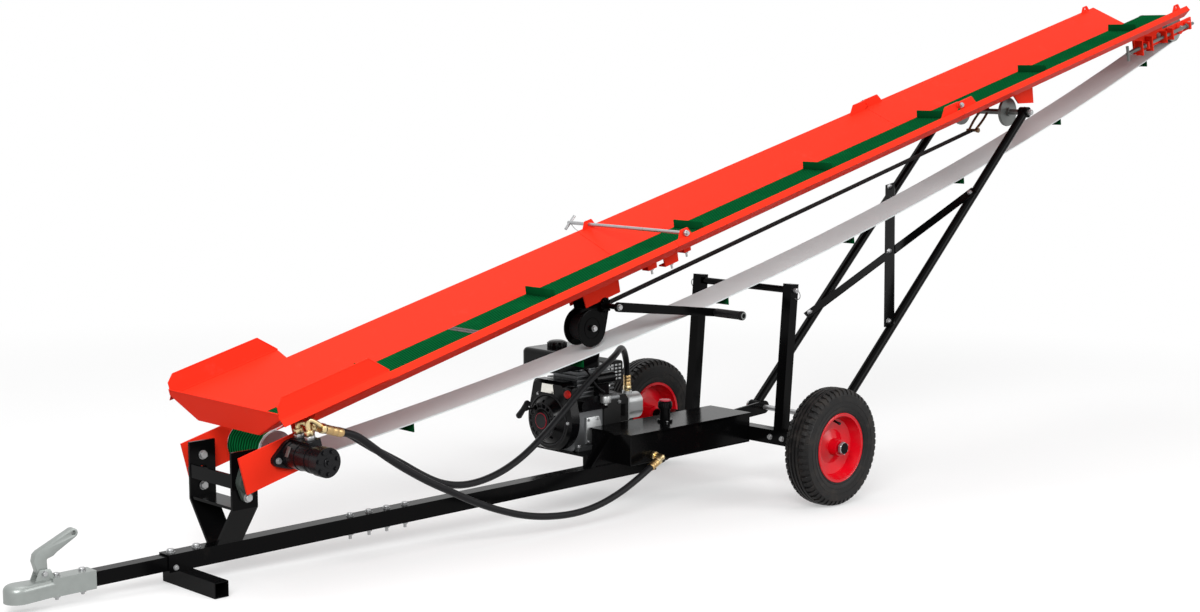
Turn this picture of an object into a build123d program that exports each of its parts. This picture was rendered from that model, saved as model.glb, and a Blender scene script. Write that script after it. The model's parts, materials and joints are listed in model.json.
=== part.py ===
from build123d import *
import os
from math import asin, atan2, cos, degrees, hypot, pi, radians, sin, sqrt, tan

# Towable belt conveyor for firewood, in millimetres.
# It is laid out level, with the axle over x = 0, the hitch towards -X and the
# discharge end towards +X, and is then pitched down until its foot parks on z = 0.

# Wheels and axle
TYRE_OD = 405.0
TYRE_WIDTH = 100.0
TYRE_BEAD_D = 226.0
TYRE_SHOULDER = 14.0
RIM_FLANGE_D = 236.0
RIM_WIDTH = 78.0
RIM_WALL = 4.0
HUB_D = 58.0
HUB_LENGTH = 84.0
HALF_TRACK = 438.0
AXLE_TUBE = 50.0
AXLE_WALL = 4.0
AXLE_HALF = 372.0
STUB_D = 25.0
HUB_NUT_D = 38.0
HUB_NUT_LENGTH = 14.0
HUB_SIDE_GAP = 3.0

# Fits
RUN_FIT = 0.05
SEAT_GAP = 0.2
PLATE_GAP = 0.5

# Drawbar and coupling
BAR_TUBE = 50.0
BAR_WALL = 4.0
BAR_BOTTOM = 122.0
BAR_FRONT_X = -2343.0
BAR_SPLICE_X = -1607.0
BAR_REAR_X = -430.0
STUB_TUBE = 40.0
STUB_FRONT_X = -2650.0
STUB_REAR_X = -2120.0
COUPLING_BALL_X = -2777.0
COUPLING_REAR_X = -2564.0
SOCKET_R = 25.2
SOCKET_WALL = 13.0
SOCKET_DEPTH = 26.0
COUPLING_SLEEVE_WALL = 5.0
COUPLING_ROUND = 16.0
LEVER_WIDTH = 14.0
FOOT_TUBE = 44.0
FOOT_WALL = 3.0
FOOT_X = -2290.0
FOOT_NEAR_Y = -199.0
FOOT_FAR_Y = 60.0

# Oil tank and engine deck
TANK_FRONT_X = -621.0
TANK_WIDTH = 180.0
TANK_HEIGHT = 105.0
TANK_WALL = 4.0
TANK_LID = 5.0
TANK_LID_OVERHANG = 7.0
GUSSET_WALL = 6.0
GUSSET_LENGTH = 110.0
GUSSET_SPREAD = 42.0
FILLER_X = -362.0
FILLER_D = 46.0
FILLER_HEIGHT = 72.0
DECK_FRONT_X = -705.0
DECK_REAR_X = -440.0
DECK_NEAR_Y = 26.0
DECK_FAR_Y = 292.0
DECK_TOP = 200.0
DECK_WALL = 6.0
DECK_RIB_REACH = 46.0

# Engine, bell housing and gear pump, with the crankshaft along X
ENGINE_Y = 190.0
CRANK_HEIGHT = 106.0
CRANKCASE_FRONT_X = -688.0
CRANKCASE_REAR_X = -474.0
CRANKCASE_WIDTH = 164.0
CRANKCASE_HEIGHT = 176.0
HEAD_TOP = 292.0
FIN_COUNT = 7
FIN_PITCH = 14.0
FIN_WALL = 4.0
BLOWER_R = 112.0
BLOWER_DEPTH = 46.0
RECOIL_R = 84.0
RECOIL_DEPTH = 26.0
FUEL_TANK = (212.0, 180.0, 70.0)
FUEL_TANK_FRONT_X = -772.0
FUEL_CAP_D = 62.0
MUFFLER = (84.0, 112.0, 76.0)
MUFFLER_REAR_X = -408.0
BELL_SIZE = 104.0
BELL_LENGTH = 72.0
PUMP_SIZE = 88.0
PUMP_LENGTH = 92.0

# Posts and the bar under the return run
POST_TUBE = 38.0
POST_HALF_SPREAD = 213.0
POST_LEAN = 4.8
POST_OVER_BAR = 22.0
CROSSBAR_D = 24.0
CROSSBAR_GAP = 2.0

# Conveyor, laid out along u from the drive drum, with n across the belt face
DRUM_X = -2022.0
DRUM_Z = 427.0
BELT_ANGLE = 14.1
DRUM_R = 55.0
DRUM_LENGTH = 164.0
DRUM_SHAFT_D = 25.0
BELT_WIDTH = 150.0
BELT_WALL = 4.0
BELT_SAG = 155.0
CLEAT_PITCH = 712.0
CLEAT_FIRST_U = 419.0
CLEAT_HEIGHT = 35.0
CLEAT_FOOT = 38.0
CLEAT_WALL = 4.0
CLEAT_WIDTH = 136.0
SHEET = 2.5
PAN_HALF = 78.0
TROUGH_HALF = 230.0
TROUGH_RISE = 76.0
LIP_OUT = 15.0
LIP_DOWN = 18.0
TROUGH_FRONT_U = -83.0
LOWER_LENGTH = 1623.5
MIDDLE_LENGTH = 1611.5
TOP_LENGTH = 1695.0
END_TO_ROLLER = 138.0
EYE_INSET = 77.0
EYE_HEIGHT = 22.0
SECTION_GAP = 2.0
SPLICE_PLATE = (240.0, 90.0, 5.0)

# Fold hinge of the top section
FOLD_PIN_LIFT = 17.0
FOLD_PIN_D = 12.0
TAB_WALL = 6.0
TAB_R = 12.0
TAB_LENGTH = 110.0

# Hopper
HOPPER_HALF = 272.0
HOPPER_REAR_U = 300.0
WING_HEIGHT = 57.0
WING_WALL = 3.0
LIP_BOTTOM_HALF = 150.0
LIP_RISE = 16.0

# Pivot under the drive drum
PIVOT_U = -138.0
PIVOT_N = -33.0
PIVOT_PIN_D = 25.0
SIDE_PLATE_Y = 140.0
SIDE_PLATE_WALL = 6.0
SIDE_PLATE_FRONT_U = -162.0
SIDE_PLATE_LOW_N = -58.0
SIDE_PLATE_HIGH_N = 50.0
SIDE_PLATE_REAR_U = 116.0
SIDE_PLATE_RAKE = 52.0
ARM_Y = 104.0
ARM_WALL = 8.0
ARM_WIDTH = 84.0
ARM_TOP_OVER_PIVOT = 85.0
ARM_BEND_UNDER_PIVOT = 78.0
ARM_FOOT_Y = 18.0
BEARING_LENGTH = 113.0
BEARING_WIDTH = 60.0
BEARING_FLANGE = 12.0
BEARING_BOSS_D = 58.0
BEARING_BOSS_LENGTH = 24.0

# Hydraulic motor and its ports
MOTOR_D = 76.0
MOTOR_CAP_D = 84.0
MOTOR_LENGTH = 178.0
MOTOR_FLANGE = 14.0
PORT_D = 26.0
PORT_HEIGHT = 52.0
PORT_OFFSETS = (34.0, 84.0)
PORT_U = 22.0
HOSE_D = 22.0
FITTING_D = 18.0
FITTING_RUN = 54.0
FITTING_DROP = 34.0
HOSE_TAIL = 46.0

# Winch and strap
SPOOL_U = 1292.0
SPOOL_N = -104.0
SPOOL_R = 42.0
SPOOL_WIDTH = 62.0
SPOOL_AXLE_R = 8.0
CHEEK_R = 62.0
CHEEK_WALL = 4.0
CRANK_U = 1361.0
CRANK_N = -48.0
CRANK_EYE_R = 26.0
CRANK_SHAFT_D = 18.0
CRANK_ARM_Y = -98.0
CRANK_ARM_LENGTH = 470.0
CRANK_ARM_DROP = 21.5
CRANK_GRIP_LENGTH = 125.0
CRANK_GRIP_D = 26.0
HANGER_LENGTH = 172.0
HANGER_LOW_N = -29.0
HANGER_WALL = 4.0
STRAP_WIDTH = 26.0
STRAP_WALL = 3.0
SHACKLE_REACH = 96.0
SHACKLE_PIN_R = 7.0

# Lock rod across the trough
LOCK_PAST_SPLICE = 54.0
LOCK_LIFT = 9.0
LOCK_TAB_OVER = 14.0
LOCK_ROD_D = 12.0
LOCK_HANDLE_OUT = 95.0

# Top roller and its tensioners
ROLLER_LENGTH = 164.0
ROLLER_SHAFT_D = 25.0
SLIDE_Y = 96.0
SLIDE_WALL = 8.0
SLIDE_LENGTH = 490.0
SLIDE_HEIGHT = 50.0
SLIDE_NOSE = 110.0
SCREW_D = 14.0
SCREW_LENGTH = 560.0
SCREW_OUT = 150.0
ROLLER_FLANGE_R = 70.0
ROLLER_FLANGE_WALL = 4.0

# Lift legs
LEG_X = 325.0
LEG_Z = 220.0
LEG_Y = 190.0
LEG_TUBE_D = 35.0
LEG_TUBE_WALL = 3.0
LEG_SHAFT_D = 20.0
LEG_EYE_D = 42.0
LEG_EYE_WIDTH = 36.0
LEG_PAST_FOLD = 464.0
ROLLER_WHEEL_R = 56.0
ROLLER_WHEEL_WIDTH = 12.0
ROLLER_WHEEL_Y = 110.0
ROLLER_WHEEL_GAP = 5.0
STOP_Y = 150.0
STOP_WALL = 6.0
STOP_LENGTH = 158.0
TOP_SHAFT_D = 22.0
BRACE_LOW = 450.0
BRACE_HIGH = 1120.0
BRACE_WIDTH = 40.0
BRACE_WALL = 5.0
LUG_Y = 150.0
LUG_WALL = 8.0
LUG_WIDTH = 48.0

# Sizes that follow from the ones above
AXLE_Z = TYRE_OD / 2
BAR_TOP = BAR_BOTTOM + BAR_TUBE
BAR_MID = BAR_BOTTOM + BAR_TUBE / 2
TANK_TOP = BAR_TOP + TANK_HEIGHT
TANK_REAR_X = -AXLE_TUBE / 2
CRANK_Z = DECK_TOP + CRANK_HEIGHT
PUMP_FRONT_X = CRANKCASE_REAR_X + BELL_LENGTH
PUMP_MID_X = PUMP_FRONT_X + PUMP_LENGTH / 2
PUMP_PORT_Z = CRANK_Z + PUMP_SIZE / 2 + 10
FUEL_TANK_Z = DECK_TOP + HEAD_TOP - 14 + SEAT_GAP
PAN_N = DRUM_R - SEAT_GAP
EDGE_N = PAN_N + TROUGH_RISE
SPLICE_U = TROUGH_FRONT_U + LOWER_LENGTH
FOLD_U = SPLICE_U + MIDDLE_LENGTH
TROUGH_END_U = FOLD_U + TOP_LENGTH
BELT_LENGTH = TROUGH_END_U + END_TO_ROLLER
LOCK_U = SPLICE_U + LOCK_PAST_SPLICE
LEG_TOP_U = FOLD_U + LEG_PAST_FOLD
WALL_SLOPE = TROUGH_RISE / (TROUGH_HALF - PAN_HALF)
PAN_UNDER_N = PAN_N - SHEET
DRUM_REAR_U = sqrt(max(DRUM_R ** 2 - PAN_UNDER_N ** 2, 0)) + 4
FOLD_N = EDGE_N + FOLD_PIN_LIFT
LEG_TOP_N = PAN_UNDER_N - ROLLER_WHEEL_GAP - ROLLER_WHEEL_R
STRAP_N = SPOOL_N + SPOOL_R + STRAP_WALL + SEAT_GAP
SHACKLE_U = LEG_TOP_U - SHACKLE_REACH
CHEEK_Y = SPOOL_WIDTH / 2 + CHEEK_WALL
PORT_BASE_N = MOTOR_D / 2 + 8
FITTING_TOP_N = MOTOR_D / 2 + PORT_HEIGHT
CONVEYOR = Location((DRUM_X, 0, DRUM_Z)) * Rot(0, -BELT_ANGLE, 0)


def level_point(u, n):
    """Level-frame x and z of a point given along and across the conveyor."""
    point = (CONVEYOR * Pos(u, 0, n)).position
    return point.X, point.Z


PIVOT_X, PIVOT_Z = level_point(PIVOT_U, PIVOT_N)
LEG_TOP_X, LEG_TOP_Z = level_point(LEG_TOP_U, LEG_TOP_N)
LEG_LENGTH = hypot(LEG_TOP_X - LEG_X, LEG_TOP_Z - LEG_Z)
LEG_ANGLE = degrees(atan2(LEG_TOP_Z - LEG_Z, LEG_TOP_X - LEG_X))
LEGS = Location((LEG_X, 0, LEG_Z)) * Rot(0, -LEG_ANGLE, 0)

# The return run is one arc inside which both drums lie.
WRAP_R = DRUM_R + BELT_WALL
SAG_LOW = WRAP_R + BELT_SAG
SAG_R = ((BELT_LENGTH / 2) ** 2 + SAG_LOW ** 2 - WRAP_R ** 2) / (2 * (SAG_LOW - WRAP_R))
SAG_N = SAG_R - SAG_LOW
SAG_HALF = asin(BELT_LENGTH / 2 / (SAG_R - WRAP_R))
WRAP_RUN = WRAP_R * (pi - SAG_HALF)
SAG_RUN = 2 * SAG_HALF * SAG_R
CLEAT_COUNT = int((BELT_LENGTH + 2 * WRAP_RUN + SAG_RUN) // CLEAT_PITCH)


def crossbar_height():
    """Level z of the bar on which the return run lies, on the line of the leaning posts."""
    sag_x, sag_z = level_point(BELT_LENGTH / 2, SAG_N)
    reach = SAG_R + CROSSBAR_D / 2 + CROSSBAR_GAP
    lean_x = sin(radians(POST_LEAN))
    lean_z = cos(radians(POST_LEAN))
    along = sag_x * lean_x + (sag_z - AXLE_Z) * lean_z
    aside = hypot(sag_x, sag_z - AXLE_Z) ** 2 - along ** 2
    return AXLE_Z + (along - sqrt(reach ** 2 - aside)) * lean_z


CROSSBAR_Z = crossbar_height()
CROSSBAR_X = (CROSSBAR_Z - AXLE_Z) * tan(radians(POST_LEAN))

# The parked pitch puts the foot's front edge on the ground.
FOOT_EDGE_X = FOOT_X - FOOT_TUBE / 2
FOOT_DROP = AXLE_Z - (BAR_BOTTOM - FOOT_TUBE)
PARK_PITCH = degrees(asin(AXLE_Z / hypot(FOOT_EDGE_X, FOOT_DROP)) - atan2(FOOT_DROP, -FOOT_EDGE_X))
PARKED = Location((0, 0, AXLE_Z)) * Rot(0, -PARK_PITCH, 0) * Location((0, 0, -AXLE_Z))


# Basic solids

def block(x, y, z):
    """Box from three (low, high) pairs."""
    centre = Pos(sum(x) / 2, sum(y) / 2, sum(z) / 2)
    return centre * Box(x[1] - x[0], y[1] - y[0], z[1] - z[0])


def rod(start, end, radius):
    """Round bar between two points."""
    run = Vector(*end) - Vector(*start)
    base = (Align.CENTER, Align.CENTER, Align.MIN)
    return Plane(origin=start, z_dir=run).location * Cylinder(radius, run.length, align=base)


def side_plate(outline, y):
    """Plate whose outline lies in X and Z, between two y values."""
    plane = Plane((0, y[1], 0), x_dir=(1, 0, 0), z_dir=(0, -1, 0))
    return extrude(plane * outline, amount=y[1] - y[0], dir=(0, -1, 0))


def round_link(discs):
    """Outline round a row of discs, each given as (x, z, radius)."""
    edges = ShapeList()
    for x, z, radius in discs:
        edges += (Pos(x, z) * Circle(radius)).edges()
    return make_hull(edges)


def mitred(points, thickness):
    """Closed outline of a folded sheet that lies to the right of an open line."""
    steps = [Vector(b) - Vector(a) for a, b in zip(points, points[1:])]
    sides = [Vector(step.Y, -step.X).normalized() for step in steps]
    ends = [sides[0]] + [(a + b) / (1 + a.dot(b)) for a, b in zip(sides, sides[1:])] + [sides[-1]]
    inner = [Vector(p) + side * thickness for p, side in zip(points, ends)]
    return Polygon(*[(p[0], p[1]) for p in points], *[(p.X, p.Y) for p in reversed(inner)], align=None)


def folded_sheet(points, thickness, x):
    """Sheet with its section in Y and Z, between two x values."""
    return extrude(Plane.YZ.offset(x[0]) * mitred(points, thickness), amount=x[1] - x[0], dir=(1, 0, 0))


def square_tube(start, end, size, wall):
    """Square tube along X or Y between two points, open at both ends."""
    run = Vector(*end) - Vector(*start)
    plane = Plane(origin=start, x_dir=(0, 0, 1), z_dir=run)
    return extrude(plane * (Rectangle(size, size) - Rectangle(size - 2 * wall, size - 2 * wall)), run.length)


def pair(shape):
    """A piece and its mirror image on the other side."""
    return shape + mirror(shape, about=Plane.XZ)


# Wheels

def tyre():
    """Plain tyre about the Y axis, with rounded shoulders and side walls."""
    outer = TYRE_OD / 2
    half = TYRE_WIDTH / 2
    bead = TYRE_BEAD_D / 2
    side = [(half * 0.70, bead), (half, (outer + bead) / 2), (half * 0.88, outer - TYRE_SHOULDER),
            (half * 0.40, outer)]
    section = Polygon(*side, *[(-y, z) for y, z in reversed(side)], align=None)
    return revolve(Plane((0, 0, 0), x_dir=(0, 1, 0), z_dir=(1, 0, 0)) * section, Axis.Y)


def rim():
    """Dished wheel with flanged edges and a hub bored for the stub axle."""
    seat = TYRE_BEAD_D / 2 - SEAT_GAP
    flange = RIM_FLANGE_D / 2
    half = RIM_WIDTH / 2
    hub = HUB_D / 2
    bore = STUB_D / 2 + RUN_FIT
    hub_half = HUB_LENGTH / 2
    barrel = seat - RIM_WALL
    outline = [(half, flange), (half + RIM_WALL, flange), (half + RIM_WALL, barrel), (8, barrel - 14)]
    outline += [(0, hub + 30), (10, hub), (hub_half, hub), (hub_half, bore), (-hub_half, bore), (-hub_half, hub)]
    outline += [(10 - RIM_WALL, hub), (-RIM_WALL, hub + 30), (8 - RIM_WALL, barrel - 14)]
    outline += [(-half - RIM_WALL, barrel), (-half - RIM_WALL, flange), (-half, flange), (-half, seat), (half, seat)]
    section = Polygon(*outline, align=None)
    return revolve(Plane((0, 0, 0), x_dir=(0, -1, 0), z_dir=(-1, 0, 0)) * section, Axis.Y)


def axle_beam():
    """Square axle tube with stub axles, hub nuts and the two lugs of the lift legs."""
    half = AXLE_TUBE / 2
    beam = square_tube((0, -AXLE_HALF, AXLE_Z), (0, AXLE_HALF, AXLE_Z), AXLE_TUBE, AXLE_WALL)
    wheel_out = HALF_TRACK + HUB_LENGTH / 2 + HUB_SIDE_GAP
    cap = block((-half, half), (AXLE_HALF - 10, AXLE_HALF), (AXLE_Z - half, AXLE_Z + half))
    stub = rod((0, AXLE_HALF, AXLE_Z), (0, wheel_out, AXLE_Z), STUB_D / 2)
    collar = rod((0, AXLE_HALF, AXLE_Z), (0, HALF_TRACK - HUB_LENGTH / 2 - HUB_SIDE_GAP, AXLE_Z), STUB_D / 2 + 6)
    nut = rod((0, wheel_out, AXLE_Z), (0, wheel_out + HUB_NUT_LENGTH, AXLE_Z), HUB_NUT_D / 2)
    link = round_link([(half + 2, AXLE_Z, LUG_WIDTH / 2 - 4), (LEG_X, LEG_Z, LUG_WIDTH / 2)])
    link -= Pos(LEG_X, LEG_Z) * Circle(LEG_SHAFT_D / 2 + RUN_FIT)
    lug = side_plate(link, (LUG_Y - LUG_WALL, LUG_Y))
    lug -= block((-half - 40, half), (0, LUG_Y + 1), (AXLE_Z - 100, AXLE_Z + 100))
    return beam + pair(cap + stub + collar + nut + lug)


# Drawbar, coupling and pivot bracket

def coupling_head():
    """Ball coupling: a rounded nose over the socket, and a sleeve clamped on the stub tube."""
    nose = SOCKET_R + SOCKET_WALL
    sleeve = STUB_TUBE / 2 + COUPLING_SLEEVE_WALL
    neck_x = COUPLING_BALL_X + 95
    plan = round_link([(COUPLING_BALL_X, 0, nose), (neck_x, sleeve - 8, 8), (neck_x, 8 - sleeve, 8)])
    body = extrude(plan, amount=BAR_TUBE - 4, dir=(0, 0, 1))
    body = Pos(0, 0, BAR_BOTTOM + 2) * fillet(body.faces().sort_by(Axis.Z)[-1].edges(), COUPLING_ROUND)
    body += block((neck_x - 8, COUPLING_REAR_X), (-sleeve, sleeve), (BAR_MID - sleeve, BAR_MID + sleeve))
    socket = Pos(COUPLING_BALL_X, 0, BAR_BOTTOM) * Cylinder(
        SOCKET_R, SOCKET_DEPTH + 2, align=(Align.CENTER, Align.CENTER, Align.MIN))
    pocket = STUB_TUBE / 2 + SEAT_GAP
    bore = block((STUB_FRONT_X - 2, COUPLING_REAR_X + 1), (-pocket, pocket), (BAR_MID - pocket, BAR_MID + pocket))
    return body - socket - bore


def coupling_lever():
    """Bent locking lever on top of the coupling, with an eye at its end."""
    foot_z = BAR_BOTTOM + BAR_TUBE + 2 + SEAT_GAP
    low = (COUPLING_BALL_X + 68, foot_z + 14, 11)
    knee = (COUPLING_BALL_X + 55, foot_z + 58, 9)
    eye = (COUPLING_BALL_X + 158, foot_z + 106, 11)
    lever = round_link([low, knee]) + round_link([knee, eye])
    lever -= Pos(eye[0], eye[1]) * Circle(5)
    root = Polygon((low[0] - 16, foot_z - 4), (low[0] + 16, foot_z - 4), (low[0] + 9, foot_z + 16),
                   (low[0] - 9, foot_z + 16), align=None)
    return side_plate(lever + root, (-LEVER_WIDTH / 2, LEVER_WIDTH / 2))


def drawbar_stub():
    return square_tube((STUB_FRONT_X, 0, BAR_MID), (STUB_REAR_X, 0, BAR_MID), STUB_TUBE, BAR_WALL)


def drawbar_front():
    return square_tube((BAR_FRONT_X, 0, BAR_MID), (BAR_SPLICE_X, 0, BAR_MID), BAR_TUBE, BAR_WALL)


def drawbar_rear():
    return square_tube((BAR_SPLICE_X, 0, BAR_MID), (BAR_REAR_X, 0, BAR_MID), BAR_TUBE, BAR_WALL)


def parking_foot():
    z = BAR_BOTTOM - FOOT_TUBE / 2
    return square_tube((FOOT_X, FOOT_NEAR_Y, z), (FOOT_X, FOOT_FAR_Y, z), FOOT_TUBE, FOOT_WALL)


def pivot_bracket():
    """Two bent flat bars on the drawbar, tied by a shelf and a front plate."""
    x = (PIVOT_X - ARM_WIDTH / 2, PIVOT_X + ARM_WIDTH / 2)
    bend_z = PIVOT_Z - ARM_BEND_UNDER_PIVOT
    inner = ARM_Y - ARM_WALL / 2
    line = [(ARM_FOOT_Y, BAR_TOP - 12), (inner + ARM_WALL, bend_z), (inner + ARM_WALL, PIVOT_Z + ARM_TOP_OVER_PIVOT)]
    arm = folded_sheet([(y, z) for y, z in reversed(line)], ARM_WALL, x)
    arm -= block((x[0] - 1, x[1] + 1), (-50, 200), (BAR_TOP - 50, BAR_TOP))
    arm -= block((x[0] - 1, x[1] + 1), (-50, 0.5), (BAR_TOP - 1, BAR_TOP + 60))
    arm -= rod((PIVOT_X, inner - 1, PIVOT_Z), (PIVOT_X, inner + ARM_WALL + 1, PIVOT_Z), PIVOT_PIN_D / 2 + 3)
    shelf = block((x[0] + 4, x[1] - 4), (-inner, inner), (bend_z, bend_z + ARM_WALL))
    front = block((x[0] + 2, x[0] + 10), (-inner, inner), (PIVOT_Z - 16, PIVOT_Z + 22))
    return pair(arm) + shelf + front


def pivot_bearings():
    """Two-bolt flange bearings on the outer faces of the pivot arms."""
    seat = ARM_Y + ARM_WALL / 2
    reach = BEARING_LENGTH / 2 - 16
    outline = round_link([(PIVOT_X, PIVOT_Z - reach, 16), (PIVOT_X, PIVOT_Z, BEARING_WIDTH / 2),
                          (PIVOT_X, PIVOT_Z + reach, 16)])
    housing = side_plate(outline, (seat, seat + BEARING_FLANGE))
    housing += rod((PIVOT_X, seat, PIVOT_Z), (PIVOT_X, seat + BEARING_BOSS_LENGTH, PIVOT_Z), BEARING_BOSS_D / 2)
    bore = rod((PIVOT_X, seat - 1, PIVOT_Z), (PIVOT_X, seat + 60, PIVOT_Z), PIVOT_PIN_D / 2 + RUN_FIT)
    return pair(housing - bore)


# Oil tank and engine

def oil_tank():
    """Welded oil tank over the drawbar, with a lid that overhangs and gussets at the front."""
    half = TANK_WIDTH / 2
    x = (TANK_FRONT_X, TANK_REAR_X)
    shell = block(x, (-half, half), (BAR_TOP, TANK_TOP - TANK_LID))
    hollow = (TANK_FRONT_X + TANK_WALL, TANK_REAR_X - TANK_WALL)
    shell -= block(hollow, (TANK_WALL - half, half - TANK_WALL), (BAR_TOP + TANK_WALL, TANK_TOP - TANK_LID))
    over = half + TANK_LID_OVERHANG
    shell += block((TANK_FRONT_X - 4, TANK_REAR_X), (-over, over), (TANK_TOP - TANK_LID, TANK_TOP))
    low_x = TANK_FRONT_X - GUSSET_LENGTH
    outline = Polygon((low_x, BAR_TOP), (low_x + 24, BAR_TOP), (TANK_FRONT_X, BAR_TOP), (TANK_FRONT_X, TANK_TOP - 12),
                      (TANK_FRONT_X - 22, TANK_TOP - 12), align=None)
    y = GUSSET_SPREAD / 2
    return shell + pair(side_plate(outline, (y - GUSSET_WALL, y)))


def tank_filler():
    base = Pos(FILLER_X, 0, TANK_TOP)
    low = (Align.CENTER, Align.CENTER, Align.MIN)
    neck = base * Cylinder(FILLER_D / 2 - 5, FILLER_HEIGHT - 26, align=low)
    collar = base * Cylinder(FILLER_D / 2 + 3, 8, align=low)
    cap = base * Pos(0, 0, FILLER_HEIGHT - 26) * Cylinder(FILLER_D / 2, 26, align=low)
    return neck + collar + chamfer(cap.edges().sort_by(Axis.Z)[-1:], 4)


def engine_deck():
    """Plate beside the tank on which the engine stands, with a short rib on the drawbar."""
    z = (DECK_TOP - DECK_WALL, DECK_TOP)
    deck = block((DECK_FRONT_X, DECK_REAR_X), (TANK_WIDTH / 2, DECK_FAR_Y), z)
    deck += block((DECK_FRONT_X, TANK_FRONT_X), (DECK_NEAR_Y, DECK_FAR_Y), z)
    rib_z = (BAR_BOTTOM + 6, DECK_TOP - DECK_WALL)
    rib_y = (BAR_TUBE / 2, BAR_TUBE / 2 + DECK_RIB_REACH)
    return deck + block((DECK_FRONT_X + 20, DECK_FRONT_X + 28), rib_y, rib_z)


def engine_block():
    """Crankcase with a finned, leaning cylinder and its head."""
    half = CRANKCASE_WIDTH / 2
    x = (CRANKCASE_FRONT_X, CRANKCASE_REAR_X)
    case = block(x, (ENGINE_Y - half, ENGINE_Y + half), (DECK_TOP, DECK_TOP + CRANKCASE_HEIGHT))
    case = fillet(case.edges().filter_by(Axis.X), 16)
    base = block((x[0] + 12, x[1] - 12), (ENGINE_Y - half - 8, ENGINE_Y + half + 8), (DECK_TOP, DECK_TOP + 14))
    core = block((x[0] + 34, x[1] - 34), (ENGINE_Y - half + 24, ENGINE_Y + half - 24),
                 (DECK_TOP + CRANKCASE_HEIGHT - 20, DECK_TOP + HEAD_TOP - 14))
    fins = core
    for index in range(FIN_COUNT):
        z = DECK_TOP + CRANKCASE_HEIGHT + 4 + index * FIN_PITCH
        fins += block((x[0] + 20, x[1] - 20), (ENGINE_Y - half + 8, ENGINE_Y + half - 8), (z, z + FIN_WALL))
    return case + base + fins


def blower_housing():
    """Fan shroud with the round recoil cover, on the engine's front."""
    x = CRANKCASE_FRONT_X
    shroud = round_link([(ENGINE_Y, CRANK_Z, BLOWER_R - 4), (ENGINE_Y - 62, CRANK_Z + 112, 22),
                         (ENGINE_Y + 62, CRANK_Z + 112, 22)])
    shroud = extrude(Plane((x, 0, 0), x_dir=(0, 1, 0), z_dir=(1, 0, 0)) * shroud, amount=BLOWER_DEPTH, dir=(-1, 0, 0))
    shroud = chamfer(shroud.faces().sort_by(Axis.X)[0].edges(), 10)
    width = (ENGINE_Y - BLOWER_R, ENGINE_Y + BLOWER_R)
    shroud -= block((x - BLOWER_DEPTH, x), width, (CRANK_Z - BLOWER_R, DECK_TOP + 6))
    face = x - BLOWER_DEPTH
    turn = Plane((face, ENGINE_Y, CRANK_Z), z_dir=(-1, 0, 0)).location
    base = (Align.CENTER, Align.CENTER, Align.MIN)
    shroud += turn * Cone(RECOIL_R, RECOIL_R * 0.72, RECOIL_DEPTH, align=base)
    cup = turn * Pos(0, 0, RECOIL_DEPTH) * Cylinder(RECOIL_R * 0.45, 5, align=base)
    for index in range(10):
        slot = Rot(0, 0, 36 * index) * Pos(RECOIL_R * 0.68, 0, RECOIL_DEPTH) * Box(26, 10, 24)
        shroud -= turn * slot
    return shroud + cup


def fuel_tank():
    """Rounded fuel tank over the fan shroud, with its cap."""
    length, width, height = FUEL_TANK
    x = (FUEL_TANK_FRONT_X, FUEL_TANK_FRONT_X + length)
    y = (ENGINE_Y + 5 - width / 2, ENGINE_Y + 5 + width / 2)
    tank = block(x, y, (FUEL_TANK_Z, FUEL_TANK_Z + height))
    tank = fillet(tank.edges().filter_by(Axis.Z), 24)
    tank = fillet(tank.faces().sort_by(Axis.Z)[-1].edges(), 16)
    base = (Align.CENTER, Align.CENTER, Align.MIN)
    cap = Pos(sum(x) / 2 - 20, sum(y) / 2, FUEL_TANK_Z + height) * Cylinder(FUEL_CAP_D / 2, 22, align=base)
    return tank + chamfer(cap.edges().sort_by(Axis.Z)[-1:], 5)


def muffler():
    """Slotted guard round the muffler at the rear of the engine."""
    length, width, height = MUFFLER
    x = (MUFFLER_REAR_X - length, MUFFLER_REAR_X)
    y = (ENGINE_Y - 30, ENGINE_Y - 30 + width)
    z = (DECK_TOP + CRANKCASE_HEIGHT + 26, DECK_TOP + CRANKCASE_HEIGHT + 26 + height)
    guard = fillet(block(x, y, z).edges().filter_by(Axis.Y), 12)
    foot_x = (CRANKCASE_REAR_X - 16, CRANKCASE_REAR_X - 2)
    foot = block(foot_x, (ENGINE_Y + 10, ENGINE_Y + 50), (DECK_TOP + CRANKCASE_HEIGHT + SEAT_GAP, z[0] + 1))
    for row in range(4):
        low = z[0] + 10 + row * 15
        guard -= block((x[1] - 6, x[1] + 1), (y[0] + 12, y[1] - 12), (low, low + 8))
    return guard + foot


def carburettor():
    """Carburettor, round air cleaner and switch knob on the engine's near side."""
    case_y = ENGINE_Y - CRANKCASE_WIDTH / 2 - SEAT_GAP
    z = DECK_TOP + CRANKCASE_HEIGHT + 20
    x = CRANKCASE_REAR_X - 92
    body = block((x - 24, x + 24), (case_y - 16, case_y + 8), (z - 15, z + 26))
    cleaner = rod((x - 46, case_y - 14, z + 44), (x + 40, case_y - 14, z + 44), 20)
    panel = block((CRANKCASE_FRONT_X + 4, x + 24), (case_y - 10, case_y), (z - 62, z - 14))
    knob_x = CRANKCASE_FRONT_X + 26
    return body + cleaner + panel + rod((knob_x, case_y - 9, z - 40), (knob_x, case_y - 26, z - 40), 17)


def starter_handle():
    """Pull handle of the recoil starter, on its short rope."""
    face = CRANKCASE_FRONT_X - BLOWER_DEPTH - RECOIL_DEPTH - SEAT_GAP
    y = ENGINE_Y + RECOIL_R * 0.45
    z = CRANK_Z + RECOIL_R * 0.45
    rope = rod((face, y, z), (face - 30, y, z), 4)
    grip = rod((face - 30, y - 34, z - 12), (face - 30, y + 34, z + 12), 10)
    return rope + grip


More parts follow.
